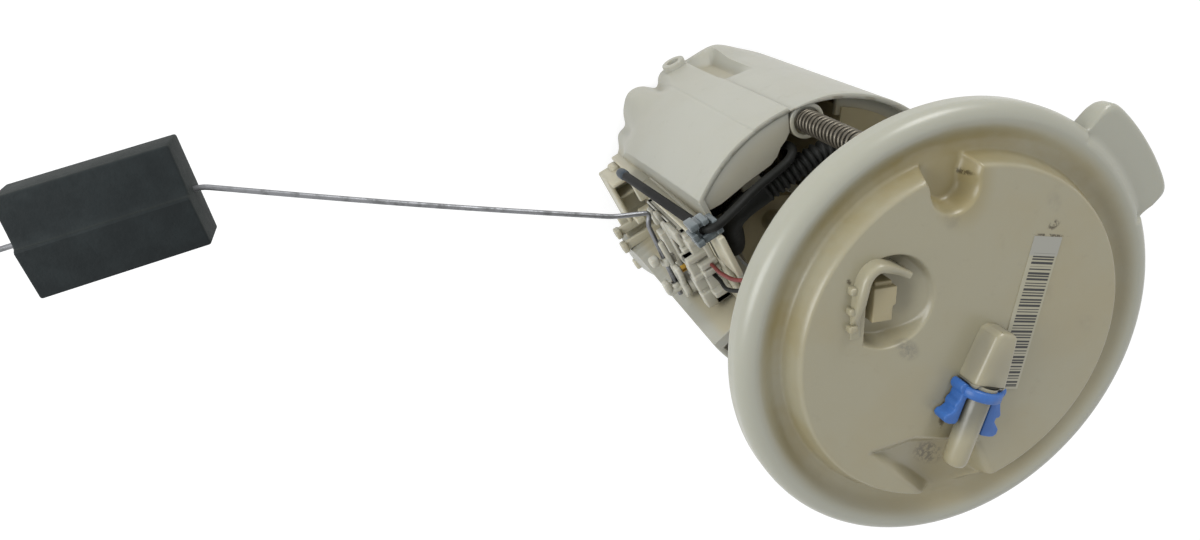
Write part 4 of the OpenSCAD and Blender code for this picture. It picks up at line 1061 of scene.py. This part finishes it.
def hose_radii(path):
    # Corrugated between two smooth cuffs
    runs = path_runs(path)
    gaps = [np.linalg.norm(p - np.array(HOSE_CUFF)) for p in path]
    cuff_run = runs[int(np.argmin(gaps))]
    radii = []
    for run in runs:
        ribbed = smoothstep(run, 13.0, 15.0) * (1.0 - smoothstep(run, cuff_run, cuff_run + 2.0))
        wave = 0.5 - 0.5 * math.cos(2 * math.pi * run / 2.5)
        radii.append(4.75 - ribbed * 1.25 * (1.0 - wave ** 0.7) - 0.35 * (1.0 - ribbed))
    return radii


def resample(path, step):
    out = [path[0]]
    left = step
    for a, b in zip(path, path[1:]):
        d = float(np.linalg.norm(b - a))
        while left <= d:
            out.append(a + (b - a) * (left / d))
            a, d = out[-1], d - left
            left = step
        left -= d
    if np.linalg.norm(out[-1] - path[-1]) > 1e-6:
        out.append(path[-1])
    return out


def build_flexibles(m):
    path = resample(spline(HOSE_ROUTE, 40), 0.27)
    tube = sweep(path, hose_radii(path), 28)
    hose = new_piece("ribbed_hose", [tube], m["hose_rubber"], None, 80.0)
    fold(hose, -85.0, -24.0)
    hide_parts("fuel_hose")
    declare_cord(path)
    black, red = m["hose_rubber"], m["red_insulation"]
    flexible("probe_lead", LEAD_ROUTE, 1.7, black, "thermistor_lead", "reservoir")
    wire_ends = (-64.0, -14.0)
    flexible("wire_red", RED_ROUTE, 0.8, red, "sender_wire_red", None, wire_ends)
    flexible("wire_black", BLACK_ROUTE, 0.8, black, "sender_wire_black", None, wire_ends)
    lead_ends = (-88.0, -14.0)
    first = flexible("pump_lead_a", LEAD_A, 1.0, red, None, None, lead_ends)
    flexible("pump_lead_b", LEAD_B, 1.0, black, None, None, lead_ends)
    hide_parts("pump_leads")


# Float arm and float
WIRE_Y = -59.4
ELBOW = (-43.0, -54.4, -94.0)
KINK = (-50.0, -68.0, -94.0)
FLOAT_NEAR = (-143.0, -187.2, -94.0)
SPINDLE_AZ = 256.0
SPINDLE_L = 69.0
FLOAT_SECTION = [
    (-18.5, -9.5), (18.5, -9.5), (18.5, 8.6), (0.6, 10.4), (-0.2, 10.2), (-0.7, 9.0), (-2.2, 8.4),
    (-5.5, 8.1), (-18.5, 7.4),
]


def bent(points, radius, segments=6):
    # Rounds the corners of a wire's route
    p = [np.asarray(q, float) for q in points]
    out = [p[0]]
    for a, b, c in zip(p, p[1:], p[2:]):
        u = (a - b) / np.linalg.norm(a - b)
        w = (c - b) / np.linalg.norm(c - b)
        r = min(radius, 0.45 * np.linalg.norm(a - b), 0.45 * np.linalg.norm(c - b))
        for k in range(segments + 1):
            t = k / segments
            out.append((1 - t) ** 2 * (b + u * r) + 2 * t * (1 - t) * b + t * t * (b + w * r))
    out.append(p[-1])
    return out


def at_spindle(v):
    # From a section across the spindle, with its run last, to the part's frame
    across, up, along = v
    return (*turned(along, across, FLOAT_NEAR, SPINDLE_AZ), FLOAT_NEAR[2] + up)


def build_arm(m):
    kink, near = np.array(KINK), np.array(FLOAT_NEAR)
    route = [(PIVOT[0] + 3.0, WIRE_Y, PIVOT[2]), (ELBOW[0] + 4.0, WIRE_Y + 2.0, ELBOW[2]), ELBOW, KINK]
    for s in np.linspace(0.04, 0.96, 20):
        route.append(kink + s * (near - kink) + np.array([0, 0, 2.5 * math.sin(math.pi * s)]))
    route += [FLOAT_NEAR, at_spindle((0.0, 0.0, SPINDLE_L))]
    rod = sweep(bent(route, 3.0), 1.0, 18)
    wire = new_piece("float_wire", [rod], m["arm_steel"], "level_arm")
    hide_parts("float_arm")
    block = extruded(FLOAT_SECTION, 2.5, 59.5, 0.9, at_spindle)
    body = new_piece("float_block", [block], m["float_rubber"], "level_float", 50.0)
    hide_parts("float")


# Blue retainer on the nipple: its plan, with x from its start along the nipple
RETAINER_START = 17.3
RETAINER_W = 3.4
RETAINER_PLAN = [
    (0, 0), (0.2, 3.5), (-0.3, 6.4), (-0.9, 7.3), (-0.6, 8.7), (0.6, 9.3), (1.9, 9), (2.8, 8.3),
    (3.6, 8.2), (6.2, 9.2), (8.6, 10.4), (9.7, 10.2), (9.9, 9.2), (11.4, 9.1), (12.6, 10.4), (13.8, 11.6),
    (15.6, 11.7), (16.6, 10.6), (16.8, 8.8), (16.6, 5.6), (15.6, 5.2), (4.4, 5.2), (3.4, 4.2), (3.4, 0),
    (3.4, -4.2), (4.4, -5.2), (12.4, -5.3), (13.4, -5.9), (13.6, -8.2), (13.2, -10), (12, -10.9),
    (10.6, -10.4), (10, -9), (8.6, -7.9), (7.4, -8.4), (6.2, -8.2), (5.2, -7.4), (2.9, -7.4), (2.4, -8.2),
    (1.2, -8.8), (-0.2, -8.6), (-0.9, -7.6), (-0.4, -6.4), (0.2, -3.5),
]


def build_retainer(m):
    outline = [(RETAINER_START + s, w) for s, w in RETAINER_PLAN]
    centre_z = NIPPLE_Z - 0.4
    half = 25
    ring = []
    for s, inset in ((0.0, 0.5), (0.5, 0.0), (2.9, 0.0), (RETAINER_W, 0.5)):
        x = RETAINER_START + s
        for k in range(half):
            t = math.pi * k / (half - 1)
            ring.append((x, (7.3 - inset) * math.cos(t), centre_z + (6.2 - inset) * math.sin(t)))
        for k in range(half):
            t = math.pi * (1 - k / (half - 1))
            grow = inset * 0.3
            ring.append((x, (3.7 + grow) * math.cos(t), centre_z + (4.1 + grow) * math.sin(t)))
    arch = ([at_outlet(v) for v in ring], capped(4, 2 * half))
    legs = extruded(outline, DISC_H + 0.4, NIPPLE_Z + 1.0, 0.45, at_outlet)
    clip = new_piece("retainer", [legs, arch], m["blue_plastic"], "cover", 50.0)
    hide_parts("retainer_clip")


# Level sender: boxes as two limits in x, in y and in z, and the radius of the edges
PLATE_BOXES = [
    # back plate and its tab
    (-43, -2, -43.6, -41.2, -168, -62, 0.8),
    (-43, -25, -43.6, -41.2, -66, -46, 0.8),
    # rails
    (-43, -41, -48.5, -43, -168, -124, 0.6),
    (-4, -2, -48.5, -43, -168, -124, 0.6),
    # skirt at the foot
    (-39.4, -37.4, -57, -43.1, -168, -146, 0.8),
    (-39.4, -15, -57.4, -55.4, -168, -153, 0.8),
    (-28, -26.4, -56, -43.1, -167, -156, 0.6),
    (-39.6, -14, -57.6, -43.1, -168.4, -165.6, 0.9),
    (-15, 12, -60.6, -43.1, -168.4, -165.6, 0.9),
    (-41, -37.4, -52.4, -47.6, -168.2, -160, 1.4),
    # edge, shelf and prongs
    (-42.6, -40.8, -49.4, -43.1, -137, -52, 0.6),
    (-40, -30, -50.4, -43.1, -137, -134.4, 0.8),
    (2, 6, -63.6, -43.1, -166.6, -162, 0.9),
    (8, 13, -64.6, -43.1, -165.6, -161, 0.9),
    # two hooks
    (-12, -7.4, -65.6, -43.1, -163.4, -161, 0.7),
    (-12.2, -7.2, -65.6, -62.6, -164.6, -159.4, 0.8),
    (-7.1, -2.5, -66.6, -43.1, -156.8, -154.4, 0.7),
    (-7.3, -2.3, -66.6, -63.6, -158, -152.8, 0.8),
    # catches
    (-22, -16, -52, -43.1, -148, -143, 0.8),
    (-20.5, -17.5, -55.5, -51, -149.5, -141.5, 0.8),
    (-38.6, -30, -45.4, -43.2, -130, -119, 0.7),
    (-14, -3, -46.8, -43.2, -136, -120, 0.9),
    (-30, -20, -46.2, -43.2, -140, -134, 0.8),
]
CASE_BOXES = [
    # frame round the windows
    (-38, -2, -50.6, -43.62, -116, -112.2, 0.7),
    (-38, -2, -50.6, -43.62, -77.8, -74, 0.7),
    (-38, -34.2, -50.6, -43.62, -116, -74, 0.7),
    (-9.6, -2, -50.6, -43.62, -116, -74, 0.7),
    # raised bands
    (-38, -2, -50.6, -49.1, -116, -104, 0.5),
    (-38, -31, -50.6, -49.1, -106, -80, 0.5),
    (-24, -2, -53.1, -49.8, -116, -109.5, 0.7),
    (-24, -2, -53.1, -49.4, -77.7, -74, 0.7),
    (-4.8, -2, -53.1, -49.4, -112, -80, 0.6),
    # catches
    (-38, -31, -52.2, -50, -88, -83, 0.6),
    (-38.5, -35, -52.3, -50, -103, -97, 0.7),
    (-36, -28, -52.4, -50, -114, -110, 0.6),
    (-31, -25.5, -52.8, -50, -79.5, -74.5, 0.6),
    (-23, -8, -54.3, -52.3, -77.6, -75.4, 0.5),
    (-2.6, 0.6, -51, -43.62, -108, -100, 0.7),
    (-2.6, 1.6, -50, -43.62, -92, -84, 0.7),
    # terminal posts
    (-38.4, -31, -52.5, -50, -88.6, -76.4, 0.7),
    (-29.2, -19.6, -54.4, -50, -75.6, -71, 0.6),
    (-29.2, -26.8, -54.4, -45, -77.4, -68.6, 0.6),
    (-20.6, -11.6, -54.8, -50, -77.7, -73.4, 0.6),
    (-20.6, -18.2, -54.8, -45.6, -77.7, -69.8, 0.6),
    (-10.4, -3.4, -54.8, -50, -77.7, -72.4, 0.7),
]
CAP_BOXES = [
    (-38, -8, -50.6, -43.62, -73.9, -70.6, 0.6),
    (-38, -8, -46, -43.62, -71, -68, 0.5),
    (-36.8, -34.2, -51, -43.62, -72, -66.6, 0.6),
    (-25.4, -22.8, -51, -43.62, -72, -66.6, 0.6),
    (-22, -19.4, -51, -43.62, -72, -66.6, 0.6),
    (-11.6, -9, -51, -43.62, -72, -66.6, 0.6),
]
CLIP_BOXES = [
    (-50.6, -43.4, -50, -42.4, -53.4, -50.6, 0.6),
    (-52.2, -49.6, -50.7, -47.3, -55, -47.6, 0.5),
    (-48.4, -46, -51.3, -49.1, -55, -47.6, 0.5),
    (-45.2, -42.8, -50.9, -47.9, -55, -47.6, 0.5),
    (-51.7, -49.5, -45.9, -43.3, -55, -47.6, 0.5),
    (-49.7, -47.1, -42.7, -40.5, -55, -47.6, 0.5),
    (-45.8, -43.4, -42.5, -39.9, -55, -47.6, 0.5),
    (-45.6, -42.6, -47.8, -42, -56, -48.6, 0.5),
    (-51, -49, -47.4, -43, -56, -49.2, 0.5),
]
HOLDER_Y = -55.4


def boxes(rows):
    parts = []
    for x0, x1, y0, y1, z0, z1, radius in rows:
        size = (x1 - x0, y1 - y0, z1 - z0)
        centre = ((x0 + x1) / 2, (y0 + y1) / 2, (z0 + z1) / 2)
        parts.append(rounded_box(size, centre, min(radius, 0.45 * min(size))))
    return parts


def pivot_disc(radius, y0, y1, sides=40):
    path = [(PIVOT[0], y, PIVOT[2]) for y in (y0, y0 - 0.3, y1 + 0.3, y1)]
    return sweep(path, [radius - 0.3, radius, radius, radius - 0.3], sides)


def build_sender(m):
    parts = boxes(PLATE_BOXES)
    plate = new_piece("sender_back_plate", parts, m["aged_plastic"], "reservoir", 50.0)
    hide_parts("sender_plate")
    parts = boxes(CASE_BOXES) + [pivot_disc(5.0, -50.0, -55.1)]
    case = new_piece("sender_case", parts, m["pale_plastic"], "reservoir", 50.0)
    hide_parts("sender_body")
    cap = new_piece("sender_cap", boxes(CAP_BOXES), m["pale_plastic"], "reservoir", 50.0)
    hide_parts("sender_cover")
    build_holder(m)


# Probe: the ends of its tube, and the radii of its head back from its foot
PROBE_TOP = (-47.0, -45.7, -50.0)
PROBE_FOOT = (-47.0, -51.9, -137.5)
HEAD_PROFILE = [(8.6, 1.4), (8.2, 2.1), (6.6, 2.35), (3.0, 2.35), (1.2, 2.0), (0.3, 1.2), (0.0, 0.4)]


def build_probe(m):
    # Probe head, its tube, and the clip that holds the tube to the plate
    top, foot = np.array(PROBE_TOP), np.array(PROBE_FOOT)
    length = float(np.linalg.norm(foot - top))
    run = (foot - top) / length
    places = (0.0, 0.4, length - 9.0, length - 8.0, length - 7.4)
    sleeve = sweep([top + run * d for d in places], [1.7, 1.95, 1.95, 1.8, 1.6], 24)
    tube = new_piece("probe_tube", [sleeve], m["sleeve"], "reservoir", 50.0)
    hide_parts("thermistor_sleeve")
    tip = sweep([top + run * (length - d) for d, r in HEAD_PROFILE], [r for d, r in HEAD_PROFILE], 28)
    head = new_piece("probe_head", [tip], m["probe_black"], "reservoir", 60.0)
    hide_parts("thermistor")
    parts = boxes(CLIP_BOXES)
    clip = new_piece("probe_clip", parts, m["clear_grey_plastic"], "reservoir", 50.0)
    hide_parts("thermistor_clip")


def grip_ring(points, radii, bore, sides):
    # A bead with a round hole along it
    outer, faces = sweep(points, radii, sides, caps=False)
    inner, more = sweep(points[::-1], bore, sides, caps=False)
    count = len(outer)
    last = (len(points) - 1) * sides
    faces = faces + [tuple(count + i for i in f) for f in more]
    for k in range(sides):
        n = (k + 1) % sides
        back_k, back_n = (sides - k) % sides, (sides - n) % sides
        faces.append((last + k, last + n, count + back_n, count + back_k))
        faces.append((n, k, count + last + back_k, count + last + back_n))
    return list(outer) + list(inner), faces


def build_holder(m):
    # Arm holder: hub, carrier behind the wire, the clips that grip it, and the wiper's arm
    start = np.array(ELBOW)
    run = np.array([PIVOT[0] - 4.0, WIRE_Y, PIVOT[2]]) - start
    run = run / np.linalg.norm(run)
    across = np.array([-run[1], run[0], 0.0])
    turn = math.degrees(math.atan2(run[1], run[0]))
    parts = [pivot_disc(5.5, HOLDER_Y, HOLDER_Y - 2.5), pivot_disc(1.5, -44.3, HOLDER_Y - 0.2, 24)]
    parts += boxes([(-30.0, -6.4, HOLDER_Y - 2.5, HOLDER_Y, PIVOT[2] - 2.6, PIVOT[2] + 2.6, 0.8)])
    for s0, length, radius in ((21.0, 3.6, 2.5), (33.6, 2.6, 2.2)):
        places = (s0, s0 + 0.4, s0 + length - 0.4, s0 + length)
        points = [start + run * s for s in places]
        parts.append(grip_ring(points, [radius - 0.4, radius, radius, radius - 0.4], 1.08, 28))
        middle = start + run * (s0 + length / 2) + across * 2.6
        parts.append(rounded_box((length, 2.4, 3.2), (middle[0], middle[1], PIVOT[2]), 0.5, turn))
    a = math.radians(145.0)
    rows = []
    for r in (5.0, 8.0, 11.0, 14.0):
        x, z = PIVOT[0] + r * math.cos(a), PIVOT[2] + r * math.sin(a)
        rows.append((x - 2.4, x + 2.4, HOLDER_Y - 2.4, HOLDER_Y, z - 2.4, z + 2.4, 0.8))
    rows.append((-25.6, -21.4, -64.6, -60.4, PIVOT[2] - 1.4, PIVOT[2] + 3.0, 1.2))
    rows.append((-12.4, -6.2, -64.4, -61.4, PIVOT[2] - 2.0, PIVOT[2] + 2.2, 1.0))
    rows.append((-8.2, -5.6, -64.0, -55.6, PIVOT[2] - 2.0, PIVOT[2] + 2.2, 1.0))
    parts += boxes(rows)
    holder = new_piece("wire_holder", parts, m["white_plastic"], "level_arm", 50.0)
    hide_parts("arm_holder")


# Surroundings and light
def tree_node(tree, kind, *sources, **values):
    # A node with its first inputs linked to sources and the named ones set
    node = tree.nodes.new(kind)
    for socket, source in zip(node.inputs, sources):
        tree.links.new(source, socket)
    for name, value in values.items():
        node.inputs[name].default_value = value
    return node.outputs[0] if node.outputs else node


def build_floor():
    mesh = bpy.data.meshes.new("floor")
    s = 6.0
    mesh.from_pydata([(-s, -s, 0), (s, -s, 0), (s, s, 0), (-s, s, 0)], [], [(0, 1, 2, 3)])
    floor = bpy.data.objects.new("floor", mesh)
    floor.location = (0, 0, (FEET_Z - 0.3) * MM)
    bpy.context.scene.collection.objects.link(floor)
    mat = bpy.data.materials.new("floor")
    mat.use_nodes = True
    tree = mat.node_tree
    tree.nodes.clear()
    plain = tree_node(tree, "ShaderNodeBsdfDiffuse", Color=(0.62, 0.62, 0.6, 1))
    soft = tree_node(tree, "ShaderNodeBsdfDiffuse", Color=(0.3, 0.3, 0.3, 1))
    glow = tree_node(tree, "ShaderNodeEmission", Color=(1, 1, 1, 1), Strength=0.8)
    both = tree_node(tree, "ShaderNodeAddShader", soft, glow)
    pick = tree_node(tree, "ShaderNodeMixShader", backdrop_rays(tree), plain, both)
    tree_node(tree, "ShaderNodeOutputMaterial", pick)
    mesh.materials.append(mat)


def backdrop_rays(tree):
    # 1 for the rays that should see the plain white surroundings
    rays = tree.nodes.new("ShaderNodeLightPath").outputs
    total = rays["Is Camera Ray"]
    for name in ("Is Glossy Ray", "Is Transmission Ray"):
        total = tree_node(tree, "ShaderNodeMath", total, rays[name])
        total.node.operation = "MAXIMUM"
    return total


def area_light(name, place, target, size, power, colour):
    data = bpy.data.lights.new(name, "AREA")
    data.shape = "DISK"
    data.size = size
    data.energy = power
    data.color = colour
    lamp = bpy.data.objects.new(name, data)
    bpy.context.scene.collection.objects.link(lamp)
    place = Vector(place)
    lamp.location = place
    lamp.rotation_euler = (Vector(target) - place).to_track_quat("-Z", "Y").to_euler()


def build_light():
    world = bpy.data.worlds.new("studio")
    bpy.context.scene.world = world
    world.use_nodes = True
    tree = world.node_tree
    tree.nodes.clear()
    dim = tree_node(tree, "ShaderNodeBackground", Color=(0.95, 0.97, 1.0, 1), Strength=0.66)
    white = tree_node(tree, "ShaderNodeBackground", Color=(1, 1, 1, 1), Strength=1.0)
    pick = tree_node(tree, "ShaderNodeMixShader", backdrop_rays(tree), dim, white)
    tree_node(tree, "ShaderNodeOutputWorld", pick)
    area_light("key", (-0.95, 0.85, 0.32), (0, 0, -0.05), 0.6, 8.4, (1.0, 1.0, 0.99))
    area_light("fill", (-0.6, -0.85, 0.3), (0, 0, -0.08), 0.7, 7.0, (0.97, 0.99, 1.0))


# Nodes shown in ivory, whatever their slot
IVORY = ("pump_top_cover",)


def paint_nodes(m):
    for entry in frame["record"]["subparts"]:
        node = NODES[entry["node"]]
        slot = entry["material_slot"]
        node.data.materials.clear()
        node.data.materials.append(m["beige_plastic" if entry["node"] in IVORY else slot])


make_camera()
materials = make_materials()
paint_nodes(materials)
build_cover(materials)
build_springs(materials)
build_regulator_spring(materials)
build_flexibles(materials)
build_arm(materials)
build_retainer(materials)
build_socket(materials)
build_sender(materials)
build_probe(materials)
build_cup(materials)
build_floor()
build_light()
bpy.context.scene.view_settings.view_transform = "Standard"
